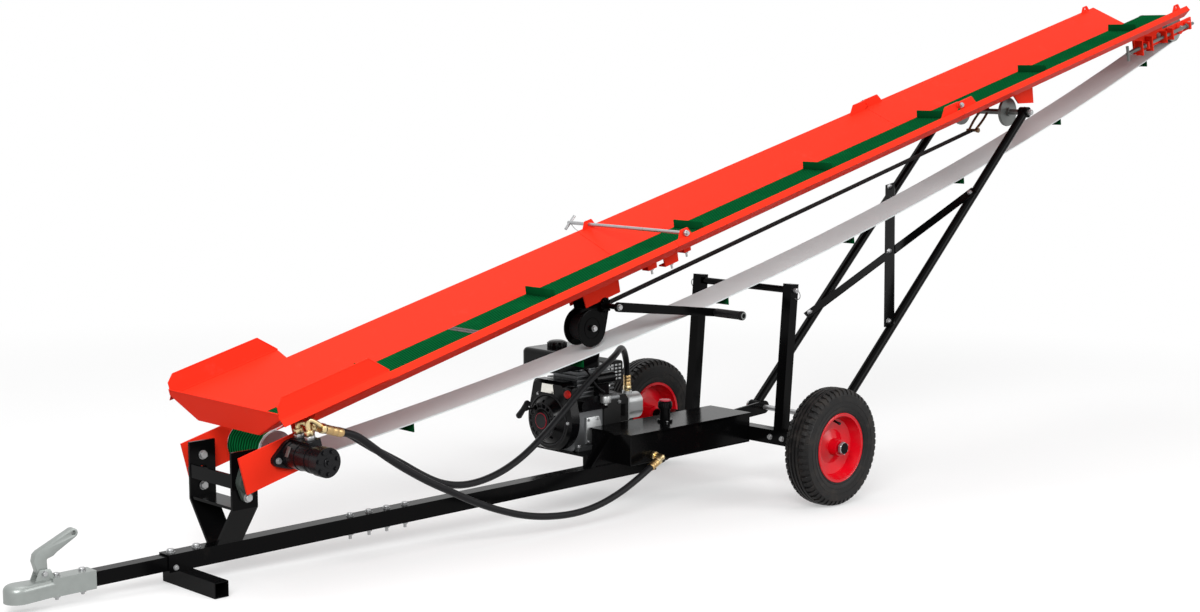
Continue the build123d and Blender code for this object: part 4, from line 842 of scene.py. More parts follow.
BAR_TOP = 172.0
BAR_BOTTOM = 122.0
BAR_HALF = 25.0
ARM_INNER = 100.0
BEARING_FACE = 120.0
BEARING_BOLT_LIFT = 44.0
SPLICE_BOLT_XS = (-1710, -1640, -1573, -1503)
CLAMP_BOLT_XS = (-2322, -2240)
COUPLING_BOLT_XS = (-2668, -2592)


class CONVEYOR_OT_chassis_bolts(bpy.types.Operator):
    """Bolts of the drawbar and the pivot bearings, and the pivot pins' ends"""

    bl_idname = "conveyor.chassis_bolts"
    bl_label = "Chassis bolts"

    def execute(self, context):
        flats = sizes().bolt_flats
        deep = BAR_TOP - BAR_BOTTOM
        spots = [aim((x, 0, BAR_TOP), UP) for x in SPLICE_BOLT_XS]
        bolts(spots, "drawbar_splice_bolts", *ON_CHASSIS, flats, 20.0, deep)
        spots = [aim((x, 0, BAR_TOP), UP) for x in CLAMP_BOLT_XS]
        bolts(spots, "drawbar_clamp_bolts", *ON_CHASSIS, flats + 2)
        spots = [aim((CLAMP_BOLT_XS[0], -BAR_HALF, BAR_BOTTOM + 12), (0, -1, 0))]
        bolts(spots, "drawbar_side_bolt", *ON_CHASSIS, 12.0)
        pivot = LEVEL.inverted() @ middle("pivot_bearings")
        spots = []
        for side in SIDES:
            for lift in (-BEARING_BOLT_LIFT, BEARING_BOLT_LIFT):
                spots.append(aim((pivot.x, side * BEARING_FACE, pivot.z + lift), (0, side, 0)))
                spots.append(aim((pivot.x, side * ARM_INNER, pivot.z + lift), (0, -side, 0)))
        bolts(spots, "bearing_bolts", *ON_CHASSIS, flats + 3)
        pins = [barrel((pivot.x, side * 122, pivot.z), (pivot.x, side * 139, pivot.z), 12.4) for side in SIDES]
        seat(merged(pins), "pivot_pin_shoulders", LEVEL, "conveyor", "zinc")
        ends = [barrel((pivot.x, side * 95, pivot.z), (pivot.x, side * 101, pivot.z), 13.0) for side in SIDES]
        seat(soften(merged(ends), 1.5), "pivot_pin_ends", LEVEL, "conveyor", "chassis black")
        return {"FINISHED"}


class CONVEYOR_OT_coupling(bpy.types.Operator):
    """Clamp bolts, locking lever and its pivot on the ball coupling"""

    bl_idname = "conveyor.coupling"
    bl_label = "Coupling"

    def execute(self, context):
        spots = [aim((x, 0, BAR_TOP), UP) for x in COUPLING_BOLT_XS]
        bolts(spots, "coupling_bolts", *ON_CHASSIS, 16.0, 14.0, 50.0)
        pivots = [aim((-2709, side * 15.6, 188), (0, side, 0)) for side in SIDES]
        bolts(pivots, "lever_pivot", *ON_CHASSIS, 12.0)
        cheeks = []
        for side in SIDES:
            outline = [(-2736, side * 12.6, 168), (-2676, side * 12.6, 168), (-2692, side * 12.6, 198),
                       (-2722, side * 12.6, 200)]
            cheeks.append(slab(outline, (0, side * 3, 0), 0.6))
        seat(merged(cheeks), "lever_cheeks", *ON_CHASSIS, "silver zinc")
        eye = Vector((-2619, 0, 280.2))
        along = Vector((103, 0, 48)).normalized()
        above = Vector((-along.z, 0, along.x))
        outline = [Vector((-2722, 0, 178)), Vector((-2735, 0, 222)), Vector((-2731, 0, 240)), Vector((-2722, 0, 248))]
        outline += [eye + above * 13 * cos(pi * i / 6) + along * 13 * sin(pi * i / 6) for i in range(7)]
        outline += [Vector((-2668, 0, 238)), Vector((-2680, 0, 229)), Vector((-2698, 0, 224)), Vector((-2696, 0, 178))]
        lever = slab([point + Vector((0, -12, 0)) for point in outline], (0, 24, 0))
        hole = barrel(eye - Vector((0, 30, 0)), eye + Vector((0, 30, 0)), 5.5)
        apply_modifier(lever, "BOOLEAN", object=hole, operation="DIFFERENCE", solver="EXACT")
        bpy.data.objects.remove(hole)
        seat(soften(lever, 3.0), "lever", *ON_CHASSIS, "silver zinc")
        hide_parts("coupling_lever")
        return {"FINISHED"}


# Motor and trough

MOTOR_SEAT_Y = -146.0
MOTOR_END_Y = -324.0
PORT_U = 22.0
PORT_BASE = 46.0
PORT_YS = (-180.0, -230.0)


class CONVEYOR_OT_motor(bpy.types.Operator):
    """Cap bolts, section lines, plate, port adaptors and elbows of the hydraulic motor"""

    bl_idname = "conveyor.motor"
    bl_label = "Motor"

    def execute(self, context):
        spots = [aim((32 * cos(tau * i / 7), MOTOR_END_Y, 32 * sin(tau * i / 7)), (0, -1, 0)) for i in range(7)]
        seat(repeated(bolt(11.0), spots), "motor_cap_bolts", *ON_CONVEYOR, "motor black")
        plug = merged([soften(barrel((0, MOTOR_END_Y, 0), (0, MOTOR_END_Y - 3, 0), 14.0, 28), 0.8, 1),
                       barrel((0, MOTOR_END_Y - 3, 0), (0, MOTOR_END_Y - 7, 0), 7.0, 6)])
        seat(plug, "motor_plug", *ON_CONVEYOR, "motor black")
        bands = [lathe([(37.6, y, 0), (39.6, y, 0), (39.6, y - 9, 0), (37.6, y - 9, 0)], ACROSS, 40)
                 for y in (-166, -206, -254, -276)]
        seat(merged(bands), "motor_bands", *ON_CONVEYOR, "motor black")
        plate = cuboid((-15, -8, 38.0), (15, 8, 38.7), 0.2)
        place = CONVEYOR @ Matrix.Translation((0, -186, 0)) @ Matrix.Rotation(radians(-52), 4, "Y")
        seat(plate, "motor_plate", place, "conveyor", "dull zinc")
        spots = [aim((u, MOTOR_SEAT_Y - 14, 0), (0, -1, 0)) for u in (-50, 50)]
        bolts(spots, "motor_flange_bolts", *ON_CONVEYOR, 14.0)
        adaptors, elbows = [], []
        for y in PORT_YS:
            adaptors.append(hexagon((PORT_U, y, PORT_BASE), (PORT_U, y, PORT_BASE + 12), 15.5))
            crest = min(104.0, WALL_UNDER_150 + (abs(y) - BRACKET_Y) * WALL_SLOPE - ELBOW_ROOM)
            bend = [CONVEYOR @ Vector((u, y, n)) for u, n in (
                (PORT_U, 58), (PORT_U, crest - 14), (PORT_U + 7, crest), (PORT_U + 26, crest - 14),
                (PORT_U + 54, 56))]
            tube = route_curve("elbow", bend, 0.0072)
            nut = hexagon((PORT_U, y, PORT_BASE + 13), (PORT_U, y, PORT_BASE + 28), 14.0)
            elbows += [tube, moved(nut, CONVEYOR)]
        seat(merged(adaptors), "motor_adaptors", *ON_CONVEYOR, "zinc")
        elbows = seat(merged(elbows), "motor_elbows", Matrix.Identity(4), "conveyor", "gold zinc")
        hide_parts("motor_fittings")
        return {"FINISHED"}


HOPPER_HALF = 272.0
HOPPER_FRONT_U = -83.0
HOPPER_REAR_U = 300.0
WING_FOOT = 152.0
WING_TOP = 209.0
WING_CUT = 22.0
WING_RAKE = 60.0
FRONT_RISE = 16.0
EDGE_N = 130.8
BRACKET_Y = 150.0
WALL_UNDER_150 = 87.5
WALL_SLOPE = 0.5
ELBOW_ROOM = 13.0
FOLD_U = 3152.0
FOLD_N = EDGE_N + 17.0
SPLICE_U = 1540.5
LOCK_U = SPLICE_U + 54.0
LOCK_N = EDGE_N + 9.0
TROUGH_HALF = 230.0
TROUGH_END_U = BELT_LENGTH - 138.0
LACING_U = 806.0
LIP_OUT = 15.0
LIP_DOWN = 18.0
HEM_IN = 30.0
HEM_DOWN = 30.0
SHEET = 2.5
UNDER_HOPPER_U = 45.0


def hem(front, rear):
    """Turned-in hem under both lips of a trough section, between two u values."""
    strips = []
    for side in SIDES:
        fold = Vector((front, side * (TROUGH_HALF + LIP_OUT), EDGE_N - LIP_DOWN))
        end = fold + Vector((0, -side * HEM_IN, -HEM_DOWN))
        back = Vector((0, -side * HEM_DOWN, HEM_IN)).normalized() * SHEET
        strips.append(slab([fold, end, end + back, fold + back], (rear - front, 0, 0)))
    return merged(strips)


class CONVEYOR_OT_trough_fittings(bpy.types.Operator):
    """Hems, splice brackets and bolts, hinge bolts, lock rod nut and wire, and belt lacing"""

    bl_idname = "conveyor.trough_fittings"
    bl_label = "Trough fittings"

    def execute(self, context):
        hems = [hem(UNDER_HOPPER_U, SPLICE_U - 1), hem(SPLICE_U + 1, FOLD_U - 1)]
        for side in SIDES:
            inner, outer = sorted((side * (TROUGH_HALF + LIP_OUT - SHEET), side * (TROUGH_HALF + LIP_OUT)))
            hems.append(cuboid((UNDER_HOPPER_U, inner, EDGE_N - LIP_DOWN), (HOPPER_REAR_U, outer, EDGE_N + 6)))
        seat(merged(hems), "trough_hems", *ON_CONVEYOR, "trough red")
        top = hem(FOLD_U + 1, TROUGH_END_U)
        seat(top, "top_section_hems", *ON_TOP, "trough red")
        brackets, spots = [], []
        for side in SIDES:
            y, top = side * BRACKET_Y, WALL_UNDER_150 - 4
            for offset, half, low in ((-46, 24, 42), (44, 36, 30), (126, 20, 46)):
                u = SPLICE_U + offset
                outline = [(u - half, y, top), (u + half, y, top), (u + half - 4, y, low), (u - half + 4, y, low)]
                brackets.append(slab(outline, (0, side * 5, 0), 0.8))
                near, far = sorted((side * 124, side * 152))
                brackets.append(cuboid((u - half + 4, near, low), (u + half - 4, far, low + 5), 0.8))
                spots.append(aim((u + half * 0.3, side * 140, low + 5), UP))
        seat(merged(brackets), "splice_brackets", *ON_CONVEYOR, "trough red")
        bolts(spots, "splice_hanging_bolts", *ON_CONVEYOR, 13.0, 20.0, 5.0)
        pins = [aim((FOLD_U, side * 234, FOLD_N), (0, side, 0)) for side in SIDES]
        bolts(pins, "hinge_bolts", *ON_CONVEYOR, 15.0)
        nut = hexagon((LOCK_U, -238, LOCK_N), (LOCK_U, -229, LOCK_N), 11.0, 0.6)
        seat(nut, "lock_rod_nut", *ON_CONVEYOR, "zinc")
        wire = route_curve("lock_wire", [CONVEYOR @ Vector(p) for p in (
            (LOCK_U, 316, LOCK_N), (LOCK_U - 4, 296, LOCK_N - 22), (LOCK_U + 4, 268, LOCK_N - 34),
            (LOCK_U + 6, 240, LOCK_N - 24), (LOCK_U + 4, 231, LOCK_N - 12))], 0.0014)
        seat(wire, "lock_wire", Matrix.Identity(4), "conveyor", "zinc")
        hooks = [Matrix.Translation((LACING_U, -69 + 6 * step, WRAP_R)) for step in range(24)]
        hook = merged([cuboid((-13, -1.7, -0.4), (-1.5, 1.7, 1.3)), cuboid((1.5, -1.7, -0.4), (13, 1.7, 1.3))])
        seat(repeated(hook, hooks), "belt_lacing", *ON_CONVEYOR, "dark alloy")
        return {"FINISHED"}


class CONVEYOR_OT_hopper(bpy.types.Operator):
    """Rounded edges of the hopper's wings and front"""

    bl_idname = "conveyor.hopper"
    bl_label = "Hopper"

    def execute(self, context):
        parts = []
        for side in SIDES:
            y = side * (HOPPER_HALF - 1.5)
            line = [(HOPPER_FRONT_U, WING_TOP - WING_CUT), (HOPPER_FRONT_U + WING_CUT, WING_TOP),
                    (HOPPER_REAR_U - WING_RAKE, WING_TOP), (HOPPER_REAR_U, WING_FOOT)]
            for (u0, n0), (u1, n1) in zip(line, line[1:]):
                parts.append(barrel((u0, y, n0), (u1, y, n1), 2.4, 10))
            parts.append(barrel((HOPPER_FRONT_U, y, WING_FOOT), (HOPPER_REAR_U, y, WING_FOOT), 2.6, 10))
        front, top = HOPPER_FRONT_U - 1.5, WING_FOOT + FRONT_RISE
        parts.append(barrel((front, -HOPPER_HALF, top), (front, HOPPER_HALF, top), 2.4, 10))
        seat(merged(parts), "hopper_edges", *ON_CONVEYOR, "trough red")
        return {"FINISHED"}


SPOOL_U = 1292.0
SPOOL_N = -104.0
CRANK_U = 1361.0
CRANK_N = -48.0
CRANK_Y = -106.0
CRANK_REACH = 470.0
CRANK_DROP = radians(21.5)
STRAP_N = -58.8


class CONVEYOR_OT_winch(bpy.types.Operator):
    """Winch nuts, rims, ratchet, crank grip and strap"""

    bl_idname = "conveyor.winch"
    bl_label = "Winch"

    def execute(self, context):
        spots = [aim((SPOOL_U, -43, SPOOL_N), (0, -1, 0)), aim((CRANK_U, CRANK_Y, CRANK_N), (0, -1, 0)),
                 aim((SPOOL_U, 43, SPOOL_N), ACROSS)]
        bolts(spots, "winch_nuts", *ON_CONVEYOR, 16.0)
        rims = []
        for side in SIDES:
            rims.append(ring((SPOOL_U, side * 33, SPOOL_N), ACROSS, 60.0, 2.6, 56, 8))
            rims.append(ring((SPOOL_U, side * 35.4, SPOOL_N), ACROSS, 34.0, 1.6, 40, 6))
        seat(merged(rims), "winch_rims", *ON_CONVEYOR, "chassis black")
        teeth = round_turns(12, "Y")
        gear = merged([barrel((0, -48, 0), (0, -41, 0), 19.0, 24),
                       repeated(cuboid((-3, -48, 17), (3, -41, 24), 0.6), teeth)])
        place = CONVEYOR @ Matrix.Translation((CRANK_U, 0, CRANK_N))
        seat(gear, "winch_ratchet", place, "conveyor", "chassis black")
        place = place @ Matrix.Translation((CRANK_REACH * cos(CRANK_DROP), 0, -CRANK_REACH * sin(CRANK_DROP)))
        line = [(0, -107), (13.6, -107), (14.6, -110), (14.6, -216), (15.6, -219), (15.6, -230), (14.0, -233),
                (7.0, -233), (7.0, -226), (0, -226)]
        grip = lathe([(r, y, 0) for r, y in line], ACROSS, 28)
        seat(grip, "crank_grip", place, "conveyor", "grip black")
        cap = lathe([(8.0, -233.2, 0), (8.0, -234.2, 0), (12.6, -234.2, 0), (12.6, -233.2, 0)], ACROSS, 28)
        seat(cap, "crank_grip_washer", place, "conveyor", "dull zinc")
        low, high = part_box("lift_strap")
        length = (high.x - low.x) / CONVEYOR.to_3x3().col[0].normalized().x * 1000
        strap = cuboid((SPOOL_U, -16, STRAP_N - 4), (SPOOL_U + length, 16, STRAP_N), 0.6)
        seat(strap, "strap", *ON_CONVEYOR, "strap")
        CONVEYOR @ Vector((SPOOL_U, 0, STRAP_N))
        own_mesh(strap)
        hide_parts("lift_strap")
        return {"FINISHED"}


SLIDE_FACE_Y = 104.0
SCREW_Y = 121.0
SLIDE_FRONT_U = BELT_LENGTH - 380.0


class CONVEYOR_OT_top_end(bpy.types.Operator):
    """Top roller, draw screws with their nuts and brackets, and slide bolts"""

    bl_idname = "conveyor.top_end"
    bl_label = "Top end"

    def execute(self, context):
        nuts, spots = [], []
        for side in SIDES:
            y = side * SCREW_Y
            for u in (SLIDE_FRONT_U + 48, SLIDE_FRONT_U + 74, SLIDE_FRONT_U + 410, SLIDE_FRONT_U + 434):
                nuts.append(hexagon((u, y, 0), (u + 10, y, 0), 12.0, 0.6))
            spots.append(aim((BELT_LENGTH, side * (SLIDE_FACE_Y + 9), 0), (0, side, 0)))
            spots.append(aim((BELT_LENGTH + 84, side * SLIDE_FACE_Y, 0), (0, side, 0)))
            spots.append(aim((SLIDE_FRONT_U + 200, side * SLIDE_FACE_Y, 12), (0, side, 0)))
        seat(merged(nuts), "draw_screw_nuts", *ON_TOP, "dull zinc")
        bolts(spots, "slide_bolts", *ON_TOP, 18.0)
        screws, brackets = [], []
        for side in SIDES:
            y = side * SCREW_Y
            screws.append(barrel((SLIDE_FRONT_U - 91, y, 0), (SLIDE_FRONT_U + 471, y, 0), 7.3, 16))
            screws.append(barrel((SLIDE_FRONT_U - 82, y, -32), (SLIDE_FRONT_U - 82, y, 32), 6.5, 16))
            screws += [ring((SLIDE_FRONT_U - 66 + step * 5, y, 0), ALONG, 7.3, 0.9, 16, 5) for step in range(22)]
            near, far = sorted((side * SLIDE_FACE_Y, side * (SLIDE_FACE_Y + 34)))
            for start, rise in ((10, 32), (92, 32), (212, 26), (268, 26)):
                u = SLIDE_FRONT_U + start
                brackets.append(cuboid((u, near, -rise), (u + 8, far, rise), 1.0))
            boss = barrel((BELT_LENGTH, side * SLIDE_FACE_Y, 0), (BELT_LENGTH, side * (SLIDE_FACE_Y + 9), 0), 27.0, 36)
            brackets.append(soften(boss, 1.5))
        seat(merged(screws), "draw_screws", *ON_TOP, "dull zinc")
        seat(merged(brackets), "slide_brackets", *ON_TOP, "trough red")
        line = [(12.5, 95), (12.5, 83), (24, 83), (24, 81), (54, 80), (59, 82), (59.6, 80), (59.6, 78), (54.5, 77)]
        outline = [(r, y, 0) for r, y in line] + [(r, -y, 0) for r, y in reversed(line)]
        roller = lathe(outline, ACROSS, 64)
        place = CONVEYOR @ Matrix.Translation((BELT_LENGTH, 0, 0))
        seat(roller, "roller", place, "top_section", "silver zinc")
        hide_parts("top_roller")
        return {"FINISHED"}


LEG_Y = 190.0
SHACKLE_REACH = 96.0
BRACE_LOW = 450.0
BRACE_HIGH = 1120.0


class CONVEYOR_OT_legs(bpy.types.Operator):
    """Brace bolts, shaft ends, roller hubs and strap shackle of the lift legs"""

    bl_idname = "conveyor.legs"
    bl_label = "Lift legs"

    def execute(self, context):
        spots = [aim((BRACE_LOW, LEG_Y, 22.7), UP), aim((BRACE_HIGH, -LEG_Y, 22.7), UP),
                 aim((BRACE_LOW, -LEG_Y, 27.9), UP), aim((BRACE_HIGH, LEG_Y, 27.9), UP),
                 aim(((BRACE_LOW + BRACE_HIGH) / 2, 0, 27.9), UP)]
        bolts(spots, "brace_bolts", *ON_LEGS, 15.0)
        ends = [aim((LEG_LENGTH, side * 216, 0), (0, side, 0)) for side in SIDES]
        bolts(ends, "top_shaft_bolts", *ON_LEGS, 19.0)
        hubs = []
        for side in SIDES:
            hubs.append(barrel((LEG_LENGTH, side * 96, 0), (LEG_LENGTH, side * 124, 0), 17.0, 28))
            hubs.append(ring((LEG_LENGTH, side * 110, 0), ACROSS, 53.0, 4.4, 56, 8))
        seat(merged(hubs), "roller_hubs", *ON_LEGS, "dull zinc")
        collars = [ring((LEG_LENGTH, side * LEG_Y, 0), ACROSS, 19.0, 3.0, 36, 8) for side in SIDES]
        seat(merged(collars), "leg_welds", *ON_LEGS, "chassis black")
        top = CONVEYOR.inverted() @ middle("leg_top_shaft")
        pin = Vector((top.x - SHACKLE_REACH, 0, STRAP_N - 2))
        reach = top - pin
        bow = [(0, 15), (0.35, 20), (0.75, 21), (1.13, 16), (1.18, 0), (1.13, -16), (0.75, -21), (0.35, -20), (0, -15)]
        shackle = route_curve("bow", [pin + reach * share + Vector((0, y, 0)) for share, y in bow], 5.0)
        parts = [shackle, barrel(pin + Vector((0, -27, 0)), pin + Vector((0, 24, 0)), 6.0, 20),
                 barrel(pin + Vector((0, -32, 0)), pin + Vector((0, -23, 0)), 10.0, 6)]
        shackle = seat(merged(parts), "shackle", CONVEYOR, "lift_legs", "bronze", 60)
        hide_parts("strap_shackle")
        return {"FINISHED"}


ENGINE_Y = 190.0
CRANK_Z = 306.0
RECOIL_X = -760.0
SIDE_FACE_Y = 108.4
COVER_FACE_Y = 99.4


class CONVEYOR_OT_engine(bpy.types.Operator):
    """Recoil grille, caps, switch, shields, a bright plate painted as the housing's highlight, carburettor bowl and
    fuel line of the engine
    """

    bl_idname = "conveyor.engine"
    bl_label = "Engine"

    def execute(self, context):
        hub = (RECOIL_X - 5, ENGINE_Y, CRANK_Z)
        rings = [ring((RECOIL_X - 1, ENGINE_Y, CRANK_Z), ALONG, r, 2.6, 48, 8) for r in (42, 60)]
        rings.append(ring((RECOIL_X + 26, ENGINE_Y, CRANK_Z), ALONG, 86, 3.4, 64, 8))
        turns = round_turns(15, "X")
        spokes = repeated(cuboid((-3.4, -2.6, 39), (1.4, 2.6, 61), 0.8), turns)
        moved(spokes, Matrix.Translation((RECOIL_X, ENGINE_Y, CRANK_Z)))
        seat(merged(rings + [spokes]), "recoil_grille", *ON_CHASSIS, "grille grey")
        badge = soften(barrel(hub, (RECOIL_X - 8, ENGINE_Y, CRANK_Z), 25.0, 40), 1.0, 1)
        seat(badge, "recoil_badge", *ON_CHASSIS, "grille grey")
        edge = ring((RECOIL_X - 6, ENGINE_Y, CRANK_Z), ALONG, 26.0, 1.8, 48, 8)
        seat(edge, "recoil_badge_ring", *ON_CHASSIS, "cap red")
        pull = Vector((RECOIL_X - 52, ENGINE_Y + 37.8, CRANK_Z + 40))
        line = [(0, -38), (8, -38), (11, -33), (10, -16), (9, 0), (10, 16), (11, 33), (8, 38), (0, 38)]
        grip = lathe([(r, 0, t) for r, t in line], UP, 24)
        moved(grip, aim(pull, (0, -0.66, 0.75)))
        grip = merged([grip, barrel(pull + Vector((52, 0, -2)), pull + Vector((12, 0, 0)), 3.5, 12),
                       barrel(pull + Vector((24, 0, 0)), pull, 5.5, 20, 9.0)])
        seat(grip, "starter_grip", *ON_CHASSIS, "grip black")
        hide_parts("starter_handle")
        cover = [aim((RECOIL_X + 27, ENGINE_Y + 97 * cos(a), CRANK_Z + 97 * sin(a)), (-1, 0, 0))
                 for a in (radians(60), radians(180), radians(300))]
        bolts(cover, "recoil_bolts", *ON_CHASSIS, 9.0)
        # A bright cream steel plate on the shroud's front stands in for a painted highlight on the glossy housing.
        outline = [(158, 398), (222, 398), (216, 429), (164, 429)]
        plate = slab([(-734.2, y, z) for y, z in outline], (-2.6, 0, 0), 0.8)
        seat(plate, "shroud_highlight_plate", *ON_CHASSIS, "bright steel")
        box = cuboid((-734, 76, 384), (-698, 106, 426), 4.0)
        seat(box, "switch_box", *ON_CHASSIS, "engine black")
        knob = merged([soften(barrel((-734, 89, 405), (-743, 89, 405), 13.5, 32), 2.0),
                       soften(barrel((-743, 89, 405), (-747, 89, 405), 9.5, 32), 1.2)])
        seat(knob, "switch_knob", *ON_CHASSIS, "switch red")
        adaptor = cuboid((-556, 101, 254), (-474.6, SIDE_FACE_Y, 358), 3.0)
        seat(adaptor, "bell_adaptor", *ON_CHASSIS, "heat black")
        corners = [aim((x, 101, z), (0, -1, 0)) for x in (-547, -484) for z in (264, 348)]
        bolts(corners, "adaptor_bolts", *ON_CHASSIS, 10.0)
        outline = [(-640, 220), (-568, 220), (-562, 262), (-580, 312), (-640, 312)]
        cover = soften(slab([(x, SIDE_FACE_Y, z) for x, z in outline], (0, -9, 0)), 3.0)
        seat(cover, "side_cover", *ON_CHASSIS, "cast alloy")
        screws = [aim((x, COVER_FACE_Y, z), (0, -1, 0))
                  for x, z in ((-631, 229), (-577, 229), (-572, 262), (-588, 303), (-631, 303))]
        bolts(screws, "side_cover_bolts", *ON_CHASSIS, 8.0)
        plug = merged([soften(barrel((-606, COVER_FACE_Y, 244), (-606, 86, 244), 11.0, 20), 1.5),
                       cuboid((-610, 82, 234), (-602, 87, 254), 1.5)])
        seat(plug, "oil_plug", *ON_CHASSIS, "grip black")
        bowl = merged([soften(barrel((-566, 84, 356), (-566, 84, 381), 19.0, 28), 3.0),
                       barrel((-566, 84, 348), (-566, 84, 356), 6.0, 6)])
        seat(bowl, "carburettor_bowl", *ON_CHASSIS, "cast alloy")
        route = [(-640, 112, 478), (-640, 92, 470), (-630, 80, 440), (-606, 78, 412), (-580, 80, 398),
                 (-572, 84, 392)]
        line = route_curve("fuel_line", [LEVEL @ Vector(point) for point in route], 0.0035)
        seat(line, "fuel_line", Matrix.Identity(4), "chassis", "hose rubber")
        slots = []
        for row in range(5):
            for column in range(4):
                x = -482 + column * 18
                z = 412 + row * 12
                slots.append(cuboid((x, 159.4, z), (x + 11, 160.6, z + 6), 0.2))
        seat(merged(slots), "muffler_slots", *ON_CHASSIS, "cast alloy")
        ridges = round_turns(20, "Z")
        cap = merged([lathe([(0, 0, 24), (20, 0, 24), (30, 0, 20), (32, 0, 14), (32, 0, 0)], UP, 40),
                      repeated(cuboid((30, -2.4, 1), (34, 2.4, 17), 0.8), ridges)])
        seat(cap, "fuel_cap", LEVEL @ Matrix.Translation((-686, 195, 548)), "chassis", "engine black")
        feet = [aim((x, y, 214), UP) for x in (-668, -494) for y in (ENGINE_Y - 82, ENGINE_Y + 82)]
        bolts(feet, "engine_foot_bolts", *ON_CHASSIS, 13.0)
        head = [aim((-640 + 40 * i, ENGINE_Y - 59, 470), (0, -1, 0)) for i in range(3)]
        bolts(head, "head_bolts", *ON_CHASSIS, 10.0)
        flange = [aim((-402, ENGINE_Y + dy, CRANK_Z + dz), (-1, 0, 0)) for dy in (-34, 34) for dz in (-34, 34)]
        bolts(flange, "pump_flange_bolts", *ON_CHASSIS, 11.0)
        return {"FINISHED"}


TANK_TOP = 277.0
FILLER_X = -362.0


class CONVEYOR_OT_tank(bpy.types.Operator):
    """Filler cap with its screws, weld beads and return port nut of the oil tank"""

    bl_idname = "conveyor.tank"
    bl_label = "Oil tank"

    def execute(self, context):
        top = soften(barrel((FILLER_X, 0, TANK_TOP + 71), (FILLER_X, 0, TANK_TOP + 76), 20.0, 40), 1.5)
        seat(top, "filler_top", *ON_CHASSIS, "cap red")
        ribs = round_turns(24, "Z")
        grip = repeated(cuboid((22, -1.6, TANK_TOP + 48), (24.6, 1.6, TANK_TOP + 66), 0.5), ribs)
        seat(grip, "filler_grip", LEVEL @ Matrix.Translation((FILLER_X, 0, 0)), "chassis", "engine black")
        screws = [aim((FILLER_X + 26 * cos(tau * i / 3), 26 * sin(tau * i / 3), TANK_TOP + 2), UP)
                  for i in range(3)]
        bolts(screws, "filler_screws", *ON_CHASSIS, 6.0)
        beads = []
        for side in SIDES:
            beads.append(barrel((-621, side * 90, 174), (-27, side * 90, 174), 2.6, 10))
            beads.append(barrel((-621, side * 90, 174), (-621, side * 90, 270), 2.2, 10))
            beads.append(barrel((-711, side * 21, 174), (-622, side * 21, 174), 2.4, 10))
        seat(merged(beads), "tank_welds", *ON_CHASSIS, "chassis black")
        nut = hexagon((-512.8, -90, 193.4), (-512.8, -104, 193.4), 15.5)
        seat(nut, "return_port_nut", *ON_CHASSIS, "gold zinc")
        return {"FINISHED"}


class CONVEYOR_OT_posts(bpy.types.Operator):
    """Crossbar pins with their rings, and post bolts"""

    bl_idname = "conveyor.posts"
    bl_label = "Posts"

    def execute(self, context):
        bar = LEVEL.inverted() @ middle("post_crossbar")
        pins, rings = [], []
        for side in SIDES:
            pins.append(soften(barrel((bar.x, side * 231, bar.z), (bar.x, side * 244, bar.z), 9.0, 24), 1.5))
            rings.append(ring((bar.x, side * 240, bar.z - 14), (1, 0, 0.2), 17.0, 1.6, 36, 8))
        seat(merged(pins), "crossbar_pins", *ON_CHASSIS, "zinc")
        seat(merged(rings), "crossbar_rings", *ON_CHASSIS, "zinc")
        spots = [aim((-25, side * 240, AXLE_Z), (-1, 0, 0)) for side in SIDES]
        spots += [aim((-25, side * 186, AXLE_Z), (-1, 0, 0)) for side in SIDES]
        bolts(spots, "post_bolts", *ON_CHASSIS, 15.0)
        return {"FINISHED"}


# Stage

CAMERA_PLACE = (-5119.4, -4558.6, 1534.0)
CAMERA_YAW = radians(44.28)
CAMERA_PITCH = radians(7.42)
CAMERA_LENS = 58.4
LAMPS = (("key", (-6.8, -5.0, 4.6), 640.0, 4.0), ("fill", (3.5, -7.5, 4.0), 330.0, 5.0),
         ("top", (0.5, 2.0, 8.0), 240.0, 6.0))
LAMP_TARGET = Vector((0, 0, 0.7))
FLOOR_SIZE = 160.0
WORLD_LEVEL = 0.5


def floor_finish():
    """Pale floor that takes the shadow, runs out into white, and lights the machine little from below."""
    g = Graph(bpy.data.materials.new("floor"))
    seen = g.seen()
    away = g.node("VectorMath", {"operation": "LENGTH"}, {0: g.place}, output="Value").ramp(2.6, 5.6)
    near = g.node("BsdfDiffuse", {}, {"Color": g.mix(seen, (0.14, 0.14, 0.14, 1.0), (0.92, 0.92, 0.92, 1.0))})
    far = g.node("Emission", {}, {"Color": (1.0, 1.0, 1.0, 1.0), "Strength": 1.0})
    mixed = g.node("MixShader", {}, {0: (away * 0.6 + 0.4) * seen, 1: near, 2: far})
    g.node("OutputMaterial", {}, {"Surface": mixed})
    return g.owner


def studio_world(level):
    """White surroundings, which light the machine at a lower level."""
    g = Graph(bpy.data.worlds.new("studio"))
    strength = g.seen() * (1.0 - level) + level
    white = g.node("Background", {}, {"Color": (1.0, 1.0, 1.0, 1.0), "Strength": strength})
    g.node("OutputWorld", {}, {"Surface": white})
    return g.owner


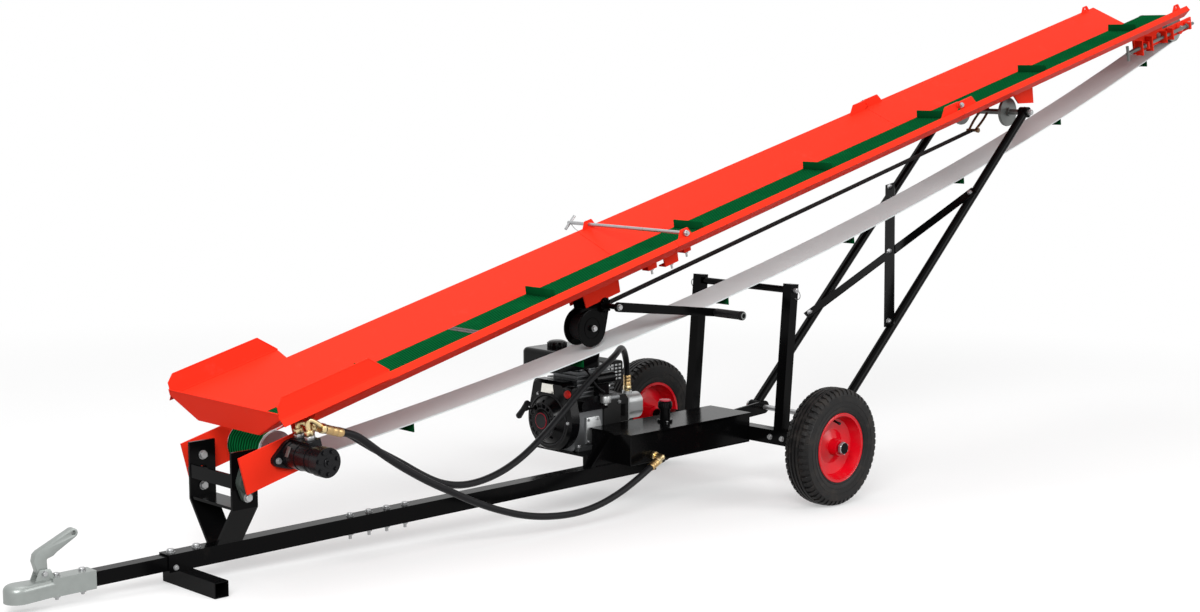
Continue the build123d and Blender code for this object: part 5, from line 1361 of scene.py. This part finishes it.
class CONVEYOR_OT_stage(bpy.types.Operator):
    """Floor, light and camera"""

    bl_idname = "conveyor.stage"
    bl_label = "Stage"

    def execute(self, context):
        clear()
        bpy.ops.mesh.primitive_plane_add(size=FLOOR_SIZE, location=(0, 0, -0.0005))
        floor = context.object
        floor.name = "floor"
        floor.data.materials.append(floor_finish())
        context.scene.world = studio_world(WORLD_LEVEL)
        for name, place, power, size in LAMPS:
            bpy.ops.object.light_add(type="AREA", location=place)
            lamp = context.object
            lamp.name = name
            lamp.data.energy = power
            lamp.data.size = size
            lamp.rotation_euler = (LAMP_TARGET - lamp.location).to_track_quat("-Z", "Y").to_euler()
        bpy.ops.object.camera_add()
        camera = context.object
        ahead = Vector((cos(CAMERA_PITCH) * sin(CAMERA_YAW), cos(CAMERA_PITCH) * cos(CAMERA_YAW), -sin(CAMERA_PITCH)))
        turn = ahead.to_track_quat("-Z", "Y").to_matrix().to_4x4()
        pose = LEVEL @ Matrix.Translation(CAMERA_PLACE) @ turn
        camera.matrix_world = Matrix.LocRotScale(pose.to_translation(), pose.to_quaternion(), None)
        camera.data.lens = CAMERA_LENS
        camera.data.sensor_width = 36.0
        camera.data.sensor_fit = "HORIZONTAL"
        camera.data.clip_end = 100.0
        context.scene.camera = camera
        context.scene.view_settings.view_transform = "Standard"
        return {"FINISHED"}


OPERATORS = (CONVEYOR_OT_finishes, CONVEYOR_OT_tyres, CONVEYOR_OT_wheel_fittings, CONVEYOR_OT_belt,
             CONVEYOR_OT_hoses, CONVEYOR_OT_chassis_bolts, CONVEYOR_OT_coupling, CONVEYOR_OT_motor,
             CONVEYOR_OT_trough_fittings, CONVEYOR_OT_hopper, CONVEYOR_OT_winch, CONVEYOR_OT_top_end,
             CONVEYOR_OT_legs, CONVEYOR_OT_engine, CONVEYOR_OT_tank, CONVEYOR_OT_posts, CONVEYOR_OT_stage)


class CONVEYOR_PT_panel(bpy.types.Panel):
    """Pieces of the conveyor's finish"""

    bl_label = "Conveyor"
    bl_idname = "CONVEYOR_PT_panel"
    bl_space_type = "VIEW_3D"
    bl_region_type = "UI"
    bl_category = "Conveyor"

    def draw(self, context):
        for group in (context.scene.conveyor_colours, context.scene.conveyor_sizes):
            for name in group.bl_rna.properties.keys():
                if name not in ("rna_type", "name"):
                    self.layout.prop(group, name)
        for operator in OPERATORS:
            self.layout.operator(operator.bl_idname)


CLASSES = (ConveyorColours, ConveyorSizes, *OPERATORS, CONVEYOR_PT_panel)


def register():
    for item in CLASSES:
        bpy.utils.register_class(item)
    bpy.types.Scene.conveyor_colours = PointerProperty(type=ConveyorColours)
    bpy.types.Scene.conveyor_sizes = PointerProperty(type=ConveyorSizes)


def unregister():
    del bpy.types.Scene.conveyor_sizes
    del bpy.types.Scene.conveyor_colours
    for item in reversed(CLASSES):
        bpy.utils.unregister_class(item)


def main():
    register()
    for operator in OPERATORS:
        group, name = operator.bl_idname.split(".")
        getattr(getattr(bpy.ops, group), name)()


if __name__ == "__main__":
    main()
